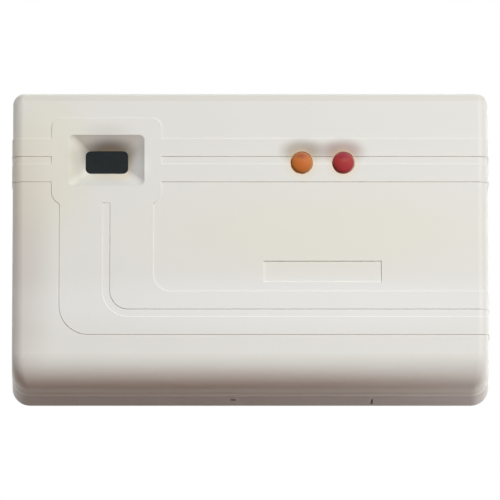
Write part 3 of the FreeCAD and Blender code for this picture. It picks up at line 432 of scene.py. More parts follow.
def add_ring(mesh, x, z, inner, outer, y_front, y_back, sides=28):
    """A flat ring that faces the front."""
    section = ((outer, y_front), (outer, y_back), (inner, y_back), (inner, y_front))
    close_loops(mesh, [circle_in_front(mesh, x, y, z, radius, sides) for radius, y in section])


def add_band(mesh, x0, x1, y, z, radius, thickness, index=0, sides=24):
    """A short sleeve round a rod that lies along X."""
    outer = radius + thickness
    close_loops(mesh, [[mesh.verts.new((x, y + r * math.cos(a), z + r * math.sin(a)))
                        for a in turns(sides)]
                       for x, r in ((x0, outer), (x1, outer), (x1, radius), (x0, radius))], index)


def add_turned(mesh, x, z, profile, sides=32):
    """A solid of revolution about Y, from radius and Y pairs whose ends lie on the axis."""
    rings = [circle_in_front(mesh, x, y, z, radius, sides) if radius
             else [mesh.verts.new((x, y, z))] for radius, y in profile]
    for here, there in zip(rings, rings[1:]):
        for i in range(sides):
            j = (i + 1) % sides
            corner = [here[i % len(here)], here[j % len(here)],
                      there[j % len(there)], there[i % len(there)]]
            unique = list(dict.fromkeys(corner))
            if len(unique) > 2:
                mesh.faces.new(unique)


def strip_outline(points, width):
    """The outline of a strip of even width along a line with mitred corners."""
    sharpest_mitre = 0.35
    line = [Vector(p) for p in points]
    left, right = [], []
    for i, p in enumerate(line):
        before = (p - line[i - 1]).normalized() if i else None
        after = (line[i + 1] - p).normalized() if i < len(line) - 1 else None
        if before is None or after is None:
            along = before or after
            side = Vector((-along.y, along.x)) * width / 2
        else:
            across = Vector((-(before + after).y, (before + after).x)).normalized()
            mitre = max(sharpest_mitre, across.dot(Vector((-before.y, before.x))))
            side = across * (width / 2 / mitre)
        left.append(tuple(p + side))
        right.append(tuple(p - side))
    return left, right


def add_strip(mesh, points, width, y_front, y_back):
    """A flat strip along a line of X and Z pairs."""
    left, right = strip_outline(points, width)
    for i in range(len(points) - 1):
        add_prism(mesh, [left[i], left[i + 1], right[i + 1], right[i]], y_front, y_back)


def add_frame_line(mesh, low, high, margin, width, y_front, y_back):
    """A thin rectangular line round a box, seen from the front."""
    x0, x1 = low.x - margin, high.x + margin
    z0, z1 = low.z - margin, high.z + margin
    around = ((x0, z0), (x1, z0), (x1, z1), (x0, z1))
    for side in zip(around, around[1:] + around[:1]):
        add_strip(mesh, side, width, y_front, y_back)


def jogged(start, end, first_along_x=True):
    """A line with a straight run and a 45 degree run between two places on the board."""
    straight_within = 1e-6
    # A hair less than 1, so that the straight run has some length.
    share = 0.999
    (x0, z0), (x1, z1) = start, end
    dx, dz = x1 - x0, z1 - z0
    if abs(dx) < straight_within or abs(dz) < straight_within:
        return [start, end]
    cut = min(abs(dx), abs(dz)) * share
    sx, sz = math.copysign(cut, dx), math.copysign(cut, dz)
    if first_along_x:
        bend = (x1 - sx, z0) if abs(dx) > abs(dz) else (x0 + sx, z0 + sz)
    else:
        bend = (x0, z1 - sz) if abs(dz) > abs(dx) else (x0 + sx, z0 + sz)
    return [start, bend, end]


# Settings

class SensorFinish(bpy.types.PropertyGroup):
    """Finish of the moulded housing."""
    cover_color: FloatVectorProperty(
        name="Cover color", description="Colour of the moulded cover", subtype="COLOR",
        size=3, min=0, max=1, default=srgb(232, 229, 221)[:3])
    base_color: FloatVectorProperty(
        name="Base color", description="Colour of the moulded base", subtype="COLOR",
        size=3, min=0, max=1, default=srgb(211, 205, 200)[:3])
    grain_depth: FloatProperty(
        name="Grain depth", description="Depth of the moulded texture", unit="LENGTH",
        subtype="DISTANCE", min=0.0, max=0.0002, default=0.012 * MM, precision=6)
    # Most of the veils on the cover are painted shade and light, and the rest a yellowed tone.
    painted_light_shade_and_tone: FloatProperty(
        name="Painted light, shade and tone", description="Strength of all the soft veils of colour on the cover",
        subtype="FACTOR", min=0.0, max=1.0, default=1.0)


class SensorLamps(bpy.types.PropertyGroup):
    """Finish of the two lamps."""
    amber: FloatVectorProperty(
        name="Amber", description="Colour of the left lamp's resin", subtype="COLOR",
        size=3, min=0, max=1, default=srgb(206, 118, 52)[:3])
    red: FloatVectorProperty(
        name="Red", description="Colour of the right lamp's resin", subtype="COLOR",
        size=3, min=0, max=1, default=srgb(176, 56, 58)[:3])
    clearness: FloatProperty(
        name="Clearness", description="Share of light that passes the resin",
        subtype="FACTOR", min=0.0, max=1.0, default=0.08)


class SensorBoard(bpy.types.PropertyGroup):
    """Look of the circuit board."""
    mask_color: FloatVectorProperty(
        name="Mask color", description="Colour of the solder mask", subtype="COLOR",
        size=3, min=0, max=1, default=srgb(28, 104, 62)[:3])
    track_width: FloatProperty(
        name="Track width", description="Width of the copper tracks", unit="LENGTH",
        subtype="DISTANCE", min=0.0001, max=0.003, default=0.55 * MM, precision=5)
    marking_width: FloatProperty(
        name="Marking width", description="Width of the printed outlines", unit="LENGTH",
        subtype="DISTANCE", min=0.00005, max=0.001, default=0.22 * MM, precision=5)


class SensorStudio(bpy.types.PropertyGroup):
    """Camera, light and floor."""
    view_angle: FloatProperty(
        name="View angle", description="How far the camera looks up", unit="ROTATION",
        subtype="ANGLE", default=math.radians(7.75))
    distance: FloatProperty(
        name="Distance", description="Distance of the camera", unit="LENGTH",
        subtype="DISTANCE", min=0.1, default=1.3)
    focal_length: FloatProperty(
        name="Focal length", description="Lens of the camera, in mm", min=10.0, default=412.4)
    key_power: FloatProperty(
        name="Key power", description="Watts of the soft main light", min=0.0, default=15.3)
    side_power: FloatProperty(
        name="Side power", description="Watts of the light on the right", min=0.0, default=1.6)
    top_power: FloatProperty(
        name="Top power", description="Watts of the light above the back", min=0.0, default=3.2)
    card_power: FloatProperty(
        name="Card power", description="Watts of the two small cards", min=0.0, default=0.009)
    floor_level: FloatProperty(
        name="Floor level", description="Height of the floor", unit="LENGTH",
        subtype="DISTANCE", default=-0.25)


SETTINGS = {"sensor_finish": SensorFinish, "sensor_lamps": SensorLamps,
            "sensor_board": SensorBoard, "sensor_studio": SensorStudio}


# Operators, one for each piece or group of pieces

class SENSOR_OT_housing(bpy.types.Operator):
    """Give the front cover and the rear base their moulded finish, with painted shade and light on
    the cover, and trim the lamp holes
    """
    bl_idname = "sensor.housing"
    bl_label = "Finish the housing"

    # The lip round a lamp hole starts just off the lamp and reaches past the edge of the hole.
    LIP_RADII = mm(2.515, 2.75)
    LIP_DEPTH = 0.3 * MM
    # The veils of colour on the cover, most of them painted shade and light, each group measured
    # from a place of its own.
    # Painted shadow on the cover between and above the two lamps.
    SHADOW_BETWEEN_LAMPS = Veil("painted shadow between the lamps", srgb(120, 96, 76), 0.24, (0, 0, 2.9),
                         (5.5, 2.5, 3.0))
    SHADOWS_ABOVE_LAMPS = (
        Veil("painted shadow above the left lamp", srgb(114, 78, 32), 0.54, (0, 0, 2.7), (6.3, 2.5, 3.6)),
        Veil("painted shadow above the right lamp", srgb(124, 46, 30), 0.54, (0, 0, 2.7), (6.3, 2.5, 3.6)))
    # Painted rings of light on the cover round each lamp hole.
    LIGHT_RINGS_ROUND_A_LAMP = (
        Veil("wide painted light ring", srgb(222, 198, 132), 0.3, (0, 0, 0), (5.0, 2.5, 5.0)),
        Veil("narrow painted light ring", srgb(255, 205, 130), 0.8, (0, 0, 0), (3.5, 2.5, 3.5)))
    # Painted shade deep in the horn's mouth, above it, in its lower left corner and on its left
    # wall, with painted warm light in the mouth and painted light on its right wall.
    LIGHT_AND_SHADE_IN_HORN = (
        Veil("painted shade deep in the mouth", srgb(60, 52, 50), 0.88, (0.6, 4.2, 2.2), (8.4, 6.0, 5.8)),
        Veil("painted warm light in the mouth", srgb(240, 210, 165), 0.3, (1.5, 3.5, -1.0), (9.0, 4.0, 7.5)),
        Veil("shade above it", srgb(130, 112, 80), 0.3, (0, -1.2, 6.5), (11.0, 1.9, 4.0)),
        Veil("painted light on the right wall", srgb(255, 255, 255), 0.7, (8.0, 2.5, -1.5), (3.5, 4.0, 5.0)),
        Veil("painted shade in the lower left corner", srgb(180, 170, 155), 0.3, (-7.5, 2.5, -3.4), (3.5, 4.0, 3.0)),
        Veil("shaded left wall", srgb(130, 112, 80), 0.3, (-6.2, 2.5, 1.0), (4.5, 4.5, 5.2)))
    # Painted shade on the left end, the chin and the top edge, painted light on the lower bands, and
    # a yellowed tone in the middle and the upper left.
    SHADE_LIGHT_AND_YELLOWING_ON_FACE = (
        Veil("painted shade on the left end", srgb(150, 120, 100), 0.3, (-55.0, 0, -4.0), (13.0, 6.0, 45.0)),
        Veil("painted warm shade on the chin", srgb(175, 112, 74), 0.15, (-15.0, 3.5, -31.5), (85.0, 5.5, 3.8)),
        Veil("yellowed middle", srgb(232, 224, 186), 0.2, (18.0, 0, 1.5), (58.0, 4.0, 14.0)),
        Veil("yellowed upper left", srgb(228, 220, 186), 0.32, (-46.0, 0, 17.0), (14.0, 4.0, 24.0)),
        Veil("painted light on the lower bands", srgb(250, 250, 250), 0.3, (8.0, 0, -15.0), (90.0, 4.0, 9.0)),
        Veil("painted shade along the top edge", srgb(150, 130, 90), 0.13, (0, 0.5, 32.5), (200.0, 4.0, 1.2)))

    def execute(self, context):
        finish = context.scene.sensor_finish
        ivory = moulded("cover_ivory", (*finish.cover_color, 1.0), 0.55, finish.grain_depth,
                        self.placed_veils(), finish.painted_light_shade_and_tone)
        dress(ivory, "front_cover")
        self.trim_lamp_holes(ivory)
        dress(moulded("base_ivory", (*finish.base_color, 1.0), 0.6, finish.grain_depth),
              "rear_base")
        return {"FINISHED"}

    def placed_veils(self):
        """The veils on the cover, each with its origin."""
        front = corners("front_cover")[0].y
        lamps = [lamp_place(lamp) for lamp in LAMPS]
        (left_x, _, z), (right_x, _, _) = lamps
        placed = [(self.SHADOW_BETWEEN_LAMPS, ((left_x + right_x) / 2, front, z))]
        for lamp, painted_light_shade_and_tone in zip(lamps, self.SHADOWS_ABOVE_LAMPS):
            placed.append((painted_light_shade_and_tone, (lamp[0], front, lamp[2])))
            placed += [(ring, lamp) for ring in self.LIGHT_RINGS_ROUND_A_LAMP]
        x, z = middle(*corners("horn_foam"))
        placed += [(veil, (x, front, z)) for veil in self.LIGHT_AND_SHADE_IN_HORN]
        placed += [(veil, (0.0, front, 0.0)) for veil in self.SHADE_LIGHT_AND_YELLOWING_ON_FACE]
        return placed

    def trim_lamp_holes(self, ivory):
        """A lip round each lamp hole that closes the gap to the lamp."""
        for lamp in LAMPS:
            x, face, z = lamp_place(lamp)
            mesh = bmesh.new()
            add_ring(mesh, x, z, *self.LIP_RADII, face - SINK, face + self.LIP_DEPTH, sides=96)
            finish_piece(f"{lamp}_lip", mesh, [ivory], "cover")


class SENSOR_OT_horn(bpy.types.Operator):
    """Finish the horn's foam, and the microphone behind it with its felt"""
    bl_idname = "sensor.horn"
    bl_label = "Finish the horn"

    def execute(self, context):
        dress(soft("horn_foam_black", srgb(34, 38, 39), 900.0, 2400.0, 0.08 * MM, cells=True,
                   Specular_IOR_Level=0.15), "horn_foam")
        dress(smooth_plastic("boot_rubber", srgb(34, 34, 35), 0.7), "microphone_boot")
        dress(metal("can_aluminium", srgb(196, 198, 200), 0.32), "microphone_capsule",
              "crystal_can")
        self.lay_felt(soft("microphone_felt_black", srgb(26, 26, 27), 2000.0, 5000.0, 0.05 * MM,
                           Sheen_Weight=0.4))
        return {"FINISHED"}

    def lay_felt(self, black):
        """A disc on the microphone, a little smaller than its can, with a rounded edge."""
        share_of_can, flat_share = 0.78, 0.97
        thickness, rounding = mm(0.12, 0.05)
        low, high = corners("microphone_capsule")
        radius = (high.x - low.x) / 2 * share_of_can
        front, back = low.y - thickness, low.y + SINK
        mesh = bmesh.new()
        add_turned(mesh, *middle(low, high),
                   [(0, front), (radius * flat_share, front), (radius, front + rounding),
                    (radius, back), (0, back)])
        finish_piece("microphone_felt", mesh, [black])


class SENSOR_OT_lamps(bpy.types.Operator):
    """Finish the two lamps and build the metal frames inside their resin"""
    bl_idname = "sensor.lamps"
    bl_label = "Finish the lamps"

    # Radius and depth of the cup's section, in millimetres from the left post's top.
    CUP_SECTION = ((0, 0.5), (0.55, 0.5), (0.8, -0.1), (0.68, -0.1), (0.4, 0.3), (0, 0.3))

    def execute(self, context):
        lamps = context.scene.sensor_lamps
        silver = metal("lamp_frame_silver", srgb(205, 205, 205), 0.3)
        for name, color in zip(LAMPS, (lamps.amber, lamps.red)):
            dress(resin(f"{name}_resin", (*color, 1.0), lamps.clearness, lamp_place(name)), name)
            self.build_frame(name, silver)
        dress(smooth_plastic("spacer_nylon", srgb(226, 226, 218), 0.5), "amber_lamp_spacer",
              "red_lamp_spacer")
        dress(metal("lead_tin", srgb(200, 200, 198), 0.28), "lamp_leads", "circuit_leads",
              "controller_legs", "amplifier_legs")
        return {"FINISHED"}

    def build_frame(self, name, silver):
        """Two posts inside the resin. The left one is wider and holds the cup for the crystal."""
        inset, height, shorter, cup_offset = mm(0.3, 4.4, 0.3, 0.35)
        wide, narrow = mm(2.0, 1.2)
        x, _, z = lamp_place(name)
        foot = corners(name)[1].y - inset
        top = foot - height
        mesh = bmesh.new()
        self.add_post(mesh, x, z, foot, top, -1, wide)
        self.add_post(mesh, x, z, foot, top + shorter, 1, narrow)
        add_turned(mesh, x - cup_offset, z,
                   [(radius * MM, top + depth * MM) for radius, depth in self.CUP_SECTION])
        finish_piece(f"{name}_frame", mesh, [silver])

    def add_post(self, mesh, x, z, foot, top, side, width):
        """A flat post that widens from its leg towards its tip, on one side of the lamp."""
        half_sheet, half_gap, neck = mm(0.25, 0.18, 1.6)
        tip, shoulder, throat = top + 0.3 * MM, top + 1.0 * MM, top + 1.6 * MM
        at_shoulder, at_tip = width * 0.8, width * 0.6
        leg, inner = x + side * LEG_PITCH / 2, x + side * half_gap
        outline = [(leg - half_sheet, foot), (leg + half_sheet, foot),
                   (leg + side * half_sheet, foot - neck), (inner + side * at_shoulder, shoulder),
                   (inner + side * at_tip, tip), (inner, tip), (inner, throat)]
        close_prism(mesh, *([mesh.verts.new((px, py, z + dz)) for px, py in outline]
                            for dz in (-half_sheet, half_sheet)))


class SENSOR_OT_board(bpy.types.Operator):
    """Finish the circuit board and lay its tracks, pads and printed outlines"""
    bl_idname = "sensor.board"
    bl_label = "Finish the circuit board"

    # The mask over a copper track looks this much brighter than over the bare board.
    TRACK_BRIGHTNESS = 1.9
    # Legs of the setting switch, in steps of the pitch from its middle.
    SWITCH_LEGS = (-1.5, -0.5, 0.5, 1.5)
    # The terminals from this one on, counted from 0, belong to the relay.
    TERMINALS, FIRST_RELAY_TERMINAL = 8, 5
    # Radius and depth of a solder pad's section, in millimetres from the board's face.
    PAD_SECTION = ((0, -0.5), (0.34, -0.42), (0.55, -0.16), (0.85, -0.05), (0.85, 0.02), (0, 0.02))
    SCREW_RING_RADII = mm(2.75, 3.3)
    TRACK_HEIGHT, RING_HEIGHT, INK_HEIGHT = mm(0.035, 0.05, 0.06)

    def execute(self, context):
        board = context.scene.sensor_board
        mask = Shader("board_mask_green", (*board.mask_color, 1.0), 0.35, Coat_Weight=0.4,
                      Coat_Roughness=0.15)
        mask.uneven(0.12, scale=90.0)
        mask.grain(1200.0, depth=0.006 * MM)
        dress(mask.material, "circuit_board")
        bright = tuple(min(1.0, c * self.TRACK_BRIGHTNESS) for c in board.mask_color)
        copper = Shader("track_under_mask", (*bright, 1.0), 0.3, Coat_Weight=0.5,
                        Coat_Roughness=0.12)
        copper.uneven(0.1, scale=200.0)
        self.lay_tracks(copper.material, board.track_width)
        self.lay_pads(metal("pad_solder", srgb(190, 190, 186), 0.3))
        ink = Shader("marking_ink", srgb(226, 226, 218), 0.6)
        ink.uneven(0.15, scale=500.0)
        self.print_outlines(ink.material, board.marking_width)
        return {"FINISHED"}

    def lamp_feet(self):
        """Where the lamps' leads meet the board, as X and Z."""
        return [middle(low, high) for low, high in loose_boxes("lamp_leads")]

    def wire_feet(self):
        """The outer ends of the bent leads, where they enter the board, as X and Z."""
        bodies = loose_boxes("resistors") + loose_boxes("diodes")
        feet = []
        for low, high in loose_boxes("circuit_leads"):
            z = (low.z + high.z) / 2
            body = min(bodies, key=lambda b: abs((b[0].z + b[1].z) / 2 - z)
                       + abs((b[0].x + b[1].x - low.x - high.x) / 2))
            left = low.x + high.x < body[0].x + body[1].x
            radius = (high.z - low.z) / 2
            feet.append((low.x + radius if left else high.x - radius, z))
        return feet

    def lay_tracks(self, material, width):
        """All the copper tracks, as one piece just proud of the board."""
        y = board_front()
        mesh = bmesh.new()
        for line in (*self.resistor_tracks(), *self.switch_tracks(), *self.relay_tracks(),
                     *self.supply_tracks(), *self.lamp_tracks()):
            add_strip(mesh, line, width, y - self.TRACK_HEIGHT, y + SINK)
        finish_piece("board_tracks", mesh, [material])

    def resistor_tracks(self):
        """One track down the resistors' left feet, and one from each right foot to the chip."""
        first_leg, past_socket = mm(1.5, 0.9)
        column_low, column_high = corners("resistors")
        socket_low, socket_high = corners("chip_socket")
        feet = sorted(self.wire_feet())
        left = [foot for foot in feet if foot[0] < column_low.x]
        right = sorted((foot for foot in feet if column_high.x < foot[0] < socket_low.x),
                       key=lambda foot: foot[1])
        x, heights = left[0][0], [z for _, z in left]
        lines = [[(x, min(heights)), (x, max(heights))]]
        straight = len(right) // 2
        for i, (x, z) in enumerate(right):
            leg = socket_low.x + first_leg + i * LEG_PITCH
            if i == straight:
                lines.append([(x, z), (socket_low.x, z)])
            elif i < straight:
                lines.append(jogged((x, z), (leg, socket_low.z - past_socket)))
            else:
                lines.append(jogged((x, z), (leg, socket_high.z + past_socket)))
        return lines

    def switch_tracks(self):
        """A track from each leg of the setting switch down to the chip's socket."""
        tuck = 0.2 * MM
        low, high = corners("dip_switch")
        top, bottom = low.z + tuck, corners("chip_socket")[1].z - tuck
        legs = [middle(low, high)[0] + step * LEG_PITCH for step in self.SWITCH_LEGS]
        return [[(x, top), (x, bottom)] for x in legs]

    def relay_tracks(self):
        """A track from each of the last terminals up to the relay."""
        sideways, under_relay = mm(1.8, 0.5)
        low, high = corners("terminal_block")
        bend_to = corners("alarm_relay")[0].z + under_relay
        pitch = (high.x - low.x) / self.TERMINALS
        feet = [low.x + (i + 0.5) * pitch for i in range(self.FIRST_RELAY_TERMINAL, self.TERMINALS)]
        return [jogged((x, high.z), (x + sideways, bend_to), first_along_x=False) for x in feet]

    def supply_tracks(self):
        """Tracks along the board's top edge, beside the relay, and past the chip's socket."""
        off_edge, off_side, off_relay, off_top = mm(2.2, 9, 0.9, 11)
        past_chip_x, into_socket, above_switch = mm(4.6, 6, 3)
        low, high = corners("circuit_board")
        relay_low, relay_high = corners("alarm_relay")
        edge, beside = high.z - off_edge, relay_high.x + off_relay
        return [[(low.x + off_side, edge), (high.x - off_side, edge)],
                [(beside, relay_low.z), (beside, high.z - off_top)],
                [(past_chip_x, corners("chip_socket")[1].z - into_socket),
                 (past_chip_x, corners("dip_switch")[1].z + above_switch)]]

    def lamp_tracks(self):
        """A short track down from each foot of the lamps."""
        run = 5.2 * MM
        return [[(x, z), (x, z - run)] for x, z in self.lamp_feet()]

    def lay_pads(self, solder):
        """A cone of solder on each foot, and a tinned ring round each board screw."""
        y = board_front()
        mesh = bmesh.new()
        section = [(radius * MM, y + depth * MM) for radius, depth in self.PAD_SECTION]
        for x, z in self.wire_feet() + self.lamp_feet():
            add_turned(mesh, x, z, section, sides=16)
        for box in loose_boxes("board_screws"):
            add_ring(mesh, *middle(*box), *self.SCREW_RING_RADII, y - self.RING_HEIGHT, y + SINK)
        finish_piece("board_pads", mesh, [solder], smooth=True)

    def print_outlines(self, ink, width):
        """Printed lines round the parts, all as one piece."""
        part_margin, can_margin, rod_margin = mm(0.7, 0.6, 0.15)
        y = board_front()
        front, back = y - self.INK_HEIGHT, y + SINK
        mesh = bmesh.new()
        for name in ("alarm_relay", "dip_switch", "chip_socket", "amplifier_chip", "tamper_switch",
                     "terminal_block", "jumper_header", "voltage_regulator"):
            add_frame_line(mesh, *corners(name), part_margin, width, front, back)
        for low, high in loose_boxes("electrolytic_capacitors") + [corners("microphone_boot")]:
            radius = (high.x - low.x) / 2 + can_margin
            add_ring(mesh, *middle(low, high), radius, radius + width, front, back, sides=48)
        for low, high in loose_boxes("resistors") + loose_boxes("diodes"):
            add_frame_line(mesh, low, high, rod_margin, width, front, back)
        finish_piece("board_marking", mesh, [ink])


class SENSOR_OT_parts(bpy.types.Operator):
    """Finish the parts on the board, with their bands, stripes and scored tops"""
    bl_idname = "sensor.parts"
    bl_label = "Finish the parts"

    BAND_THICKNESS = 0.05 * MM
    BAND_COLORS = {"brown": srgb(96, 52, 28), "black": srgb(24, 24, 24), "red": srgb(178, 36, 30),
                   "orange": srgb(224, 110, 30), "yellow": srgb(226, 190, 40),
                   "violet": srgb(104, 60, 140), "gold": srgb(190, 150, 60)}
    # Three bands that give each resistor's value. All have a gold one at the right end.
    BAND_CODES = (("brown", "black", "red"), ("yellow", "violet", "orange"),
                  ("red", "red", "red"), ("brown", "black", "orange"),
                  ("orange", "orange", "brown"), ("yellow", "violet", "red"),
                  ("brown", "black", "yellow"))
    BAND_PLACES = (0.12, 0.38, 0.54, 0.86)
    # A resistor is thinner between these shares of its length, by this factor.
    WAIST_FROM, WAIST_TO, WAIST = 0.25, 0.75, 0.852
    STRIPE_DEGREES = range(-115, -64, 5)

    def execute(self, context):
        dress(smooth_plastic("part_black", srgb(38, 38, 40), 0.45), "controller_chip",
              "amplifier_chip", "chip_socket", "tamper_switch", "diodes", "jumper_header")
        dress(smooth_plastic("relay_blue", srgb(38, 78, 140), 0.35), "alarm_relay")
        dress(smooth_plastic("plunger_red", srgb(190, 45, 38), 0.35), "tamper_plunger")
        dress(smooth_plastic("switch_red", srgb(158, 34, 36), 0.3, coat=0.3), "dip_switch")
        dress(smooth_plastic("slider_white", srgb(232, 232, 228), 0.35), "dip_slider_1",
              "dip_slider_2", "dip_slider_3", "dip_slider_4")
        dress(smooth_plastic("shunt_blue", srgb(44, 52, 120), 0.4), "jumper_shunt")
        dress(metal("pin_gold", srgb(222, 190, 110), 0.25), "jumper_pins")
        dress(smooth_plastic("varistor_coat_blue", srgb(42, 76, 150), 0.3, coat=0.5),
              "surge_varistor")
        dress(smooth_plastic("resistor_coat_beige", srgb(206, 184, 142), 0.35, coat=0.4),
              "resistors")
        self.finish_coated_parts()
        self.paint_resistors()
        self.paint_diodes()
        self.mark_capacitors()
        return {"FINISHED"}

    def finish_coated_parts(self):
        """Parts whose coat or sleeve leaves some metal bare."""
        bare_leg, regulator_body = mm(1.3, 9.05)
        wire = Finish(srgb(196, 196, 192), 0.3, 1.0)
        tan, black = Finish(srgb(196, 138, 74), 0.35), Finish(srgb(34, 34, 36), 0.5)
        sleeve, can_top = Finish(srgb(30, 34, 52), 0.28), Finish(srgb(198, 199, 201), 0.25, 1.0)
        dress(two_part("ceramic_coat_tan", tan, wire, split_at(board_front() - bare_leg)),
              "ceramic_capacitors")
        tab = corners("voltage_regulator")[1].y - regulator_body
        dress(two_part("regulator_black", black, wire, split_at(tab, in_front=True)),
              "voltage_regulator")
        dress(two_part("capacitor_sleeve_dark", sleeve, can_top, facing_front),
              "electrolytic_capacitors")

    def paint_resistors(self):
        """Four coloured bands round each resistor, its value and a gold one."""
        half_width = 0.28 * MM
        paints = [smooth_plastic(f"band_{name}", color, 0.35, coat=0.4)
                  for name, color in self.BAND_COLORS.items()]
        order = list(self.BAND_COLORS)
        mesh = bmesh.new()
        for (low, high), code in zip(loose_boxes("resistors"), self.BAND_CODES):
            y, z = (low.y + high.y) / 2, (low.z + high.z) / 2
            radius = (high.z - low.z) / 2
            for place, color in zip(self.BAND_PLACES, (*code, "gold")):
                x = low.x + place * (high.x - low.x)
                rod = radius * (self.WAIST if self.WAIST_FROM < place < self.WAIST_TO else 1.0)
                add_band(mesh, x - half_width, x + half_width, y, z, rod - SINK,
                         self.BAND_THICKNESS, order.index(color))
        finish_piece("resistor_bands", mesh, paints, smooth=True)

    def paint_diodes(self):
        """The silver band near the right end of each diode."""
        band_from, band_to = mm(1.1, 0.5)
        silver = smooth_plastic("band_silver", srgb(205, 205, 205), 0.3)
        mesh = bmesh.new()
        for low, high in loose_boxes("diodes"):
            add_band(mesh, high.x - band_from, high.x - band_to, (low.y + high.y) / 2,
                     (low.z + high.z) / 2, (high.z - low.z) / 2 - SINK, self.BAND_THICKNESS)
        finish_piece("diode_bands", mesh, [silver], smooth=True)

    def mark_capacitors(self):
        """The light stripe down the side of each can and the pressed cross in its top."""
        stripe_height, stripe_starts, score_width, score_height = mm(0.03, 0.5, 0.16, 0.012)
        score_share = 0.55
        stripe, scored = bmesh.new(), bmesh.new()
        arc = [math.radians(degrees) for degrees in self.STRIPE_DEGREES]
        for low, high in loose_boxes("electrolytic_capacitors"):
            x, z = middle(low, high)
            radius = (high.x - low.x) / 2
            edges = ((radius + stripe_height, arc), (radius - SINK, arc[::-1]))
            outline = [(x + r * math.cos(a), z + r * math.sin(a)) for r, path in edges for a in path]
            add_prism(stripe, outline, low.y + stripe_starts, high.y)
            arm = radius * score_share
            for dx, dz in ((arm, 0), (0, arm)):
                add_strip(scored, ((x - dx, z - dz), (x + dx, z + dz)), score_width,
                          low.y - score_height, low.y + SINK)
        finish_piece("capacitor_stripes", stripe,
                     [smooth_plastic("stripe_grey", srgb(176, 180, 190), 0.35)])
        finish_piece("capacitor_scores", scored, [metal("score_dark", srgb(120, 121, 123), 0.45)])


class SENSOR_OT_fixings(bpy.types.Operator):
    """Finish the screws, the terminal block and its clamps"""
    bl_idname = "sensor.fixings"
    bl_label = "Finish screws and terminals"

    def execute(self, context):
        dress(metal("screw_zinc", srgb(192, 194, 196), 0.3), "board_screws", "terminal_screws")
        dress(smooth_plastic("terminal_green", srgb(36, 122, 74), 0.4), "terminal_block")
        dress(metal("clamp_plated", srgb(206, 186, 130), 0.3), "terminal_clamps")
        return {"FINISHED"}


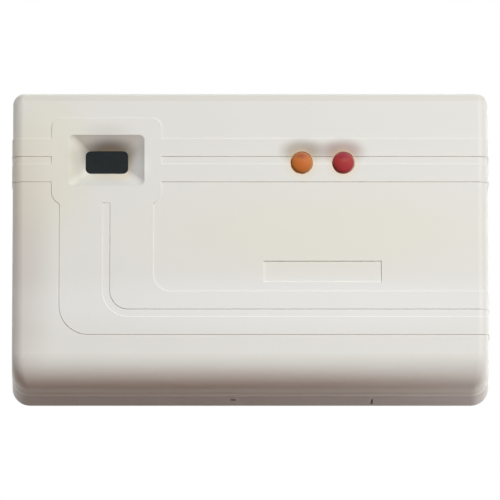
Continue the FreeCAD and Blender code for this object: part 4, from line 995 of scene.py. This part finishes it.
class SENSOR_OT_studio(bpy.types.Operator):
    """Set up the camera, the soft light, the world and the pale floor"""
    bl_idname = "sensor.studio"
    bl_label = "Set up the studio"

    # Where the lights aim.
    CENTRE, LEFT_END, RIGHT_END = (0.0, 0.0, 0.0), (-0.054, -0.03, 0.0), (0.05, -0.015, -0.02)
    # Name, place, aim and size of each light, the setting for its power and its share of that.
    LIGHTS = (("key_light", (0.44, -1.12, 0.43), CENTRE, (0.30, 0.75), "key_power", 1.0),
              ("side_light", (0.40, 0.235, -0.02), CENTRE, (0.16, 0.16), "side_power", 1.0),
              ("top_light", (0.0, 0.34, 0.70), CENTRE, (0.50, 0.16), "top_power", 1.0),
              ("right_card", (0.085, -0.012, -0.075), RIGHT_END, (0.03, 0.03), "card_power", 0.8),
              ("left_card", (-0.095, -0.011, 0.0), LEFT_END, (0.03, 0.10), "card_power", 2.0))
    LIGHT_COLOR = (0.96, 1.0, 1.03)
    WORLD_DIM, WORLD_BRIGHT = (0.02, 0.02, 0.02, 1.0), (0.65, 0.66, 0.67, 1.0)
    FLOOR_COLOR = srgb(238, 238, 236)
    # The floor throws less light back on the object than its own colour would.
    BOUNCE_COLOR = srgb(120, 93, 81)

    def execute(self, context):
        studio = context.scene.sensor_studio
        context.scene.view_settings.view_transform = "Standard"
        self.add_camera(context, studio)
        self.add_lights(context, studio)
        self.build_world(context)
        self.lay_floor(context, studio)
        return {"FINISHED"}

    def add_camera(self, context, studio):
        """A camera that looks a little up and aims just below the middle of the front."""
        front_centre, view_drop = Vector((-0.00007, -0.033, -0.0005)), 0.00207
        angle = studio.view_angle
        look = Vector((0, math.cos(angle), math.sin(angle)))
        up = Vector((0, -math.sin(angle), math.cos(angle)))
        side = look.cross(up)
        aim = front_centre - view_drop * up
        data = bpy.data.cameras.new("camera")
        data.lens = studio.focal_length
        data.sensor_width = 36.0
        data.clip_start, data.clip_end = 0.01, 20.0
        camera = bpy.data.objects.new("camera", data)
        turned = Matrix((side, up, -look)).transposed().to_4x4()
        camera.matrix_world = Matrix.Translation(aim - look * studio.distance) @ turned
        context.scene.collection.objects.link(camera)
        context.scene.camera = camera

    def add_lights(self, context, studio):
        """Soft rectangular lights, of which only the key light shows in gloss."""
        for name, place, aim, size, setting, share in self.LIGHTS:
            data = bpy.data.lights.new(name, "AREA")
            data.shape = "RECTANGLE"
            data.size, data.size_y = size
            data.energy = share * getattr(studio, setting)
            data.color = self.LIGHT_COLOR
            light = bpy.data.objects.new(name, data)
            light.location = place
            light.rotation_mode = "QUATERNION"
            light.rotation_quaternion = (Vector(aim) - Vector(place)).to_track_quat("-Z", "Y")
            light.visible_camera = False
            light.visible_glossy = name == "key_light"
            context.scene.collection.objects.link(light)

    def build_world(self, context):
        """A dim world, brighter behind the left end, lights the object. A white one is seen."""
        bright_side, brightens_from, full_from = (-0.75, 0.66, 0.0), 0.3, 0.9
        world = bpy.data.worlds.new("studio")
        world.use_nodes = True
        nodes = Nodes(world.node_tree)
        direction = nodes.add("ShaderNodeTexCoord").outputs["Generated"]
        lean = nodes.vector("DOT_PRODUCT", direction, bright_side)["Value"]
        share = nodes.spread(lean, 0.0, 1.0, ends=(brightens_from, full_from))
        shade = nodes.blend(share, self.WORLD_DIM, self.WORLD_BRIGHT)
        dim = world.node_tree.nodes["Background"]
        world.node_tree.links.new(shade, dim.inputs["Color"])
        white = nodes.add("ShaderNodeBackground", {"Color": (1.0, 1.0, 1.0, 1.0)}).outputs[0]
        nodes.show("World Output", nodes.seen_directly(), dim.outputs[0], white)
        context.scene.world = world

    def lay_floor(self, context, studio):
        """A floor that looks pale and throws a little warm light back on the object."""
        half_width, lift = 6.0, 0.45
        mesh = bmesh.new()
        bmesh.ops.create_grid(mesh, x_segments=1, y_segments=1, size=half_width)
        data = bpy.data.meshes.new("floor")
        mesh.to_mesh(data)
        mesh.free()
        floor = bpy.data.objects.new("floor", data)
        floor.location.z = studio.floor_level
        context.scene.collection.objects.link(floor)
        pale = Shader("floor_pale", self.FLOOR_COLOR, 0.9, Specular_IOR_Level=0.1,
                      Emission_Color=self.FLOOR_COLOR)
        camera_ray = pale.add("ShaderNodeLightPath").outputs["Is Camera Ray"]
        pale.plug(pale.spread(camera_ray, 0.0, lift), "Emission Strength")
        bounce = pale.add("ShaderNodeBsdfDiffuse", {"Color": self.BOUNCE_COLOR}).outputs[0]
        pale.show("Material Output", pale.seen_directly(), bounce, pale.bsdf.outputs[0])
        data.materials.append(pale.material)


class SENSOR_PT_panel(bpy.types.Panel):
    """The sensor's settings and builders in the 3D view's sidebar"""
    bl_idname = "SENSOR_PT_panel"
    bl_label = "Glass Break Sensor"
    bl_space_type = "VIEW_3D"
    bl_region_type = "UI"
    bl_category = "Sensor"

    def draw(self, context):
        for key, group in SETTINGS.items():
            box = self.layout.box()
            for name in group.__annotations__:
                box.prop(getattr(context.scene, key), name)
        for operator in OPERATORS:
            self.layout.operator(operator.bl_idname)


OPERATORS = (SENSOR_OT_housing, SENSOR_OT_horn, SENSOR_OT_lamps, SENSOR_OT_board, SENSOR_OT_parts,
             SENSOR_OT_fixings, SENSOR_OT_studio)
CLASSES = (*SETTINGS.values(), *OPERATORS, SENSOR_PT_panel)


def register():
    for cls in CLASSES:
        bpy.utils.register_class(cls)
    for key, group in SETTINGS.items():
        setattr(bpy.types.Scene, key, PointerProperty(type=group))


def unregister():
    for key in SETTINGS:
        delattr(bpy.types.Scene, key)
    for cls in reversed(CLASSES):
        bpy.utils.unregister_class(cls)


def main():
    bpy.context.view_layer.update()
    register()
    bpy.ops.sensor.housing()
    bpy.ops.sensor.horn()
    bpy.ops.sensor.lamps()
    bpy.ops.sensor.board()
    bpy.ops.sensor.parts()
    bpy.ops.sensor.fixings()
    bpy.ops.sensor.studio()


if __name__ == "__main__":
    main()
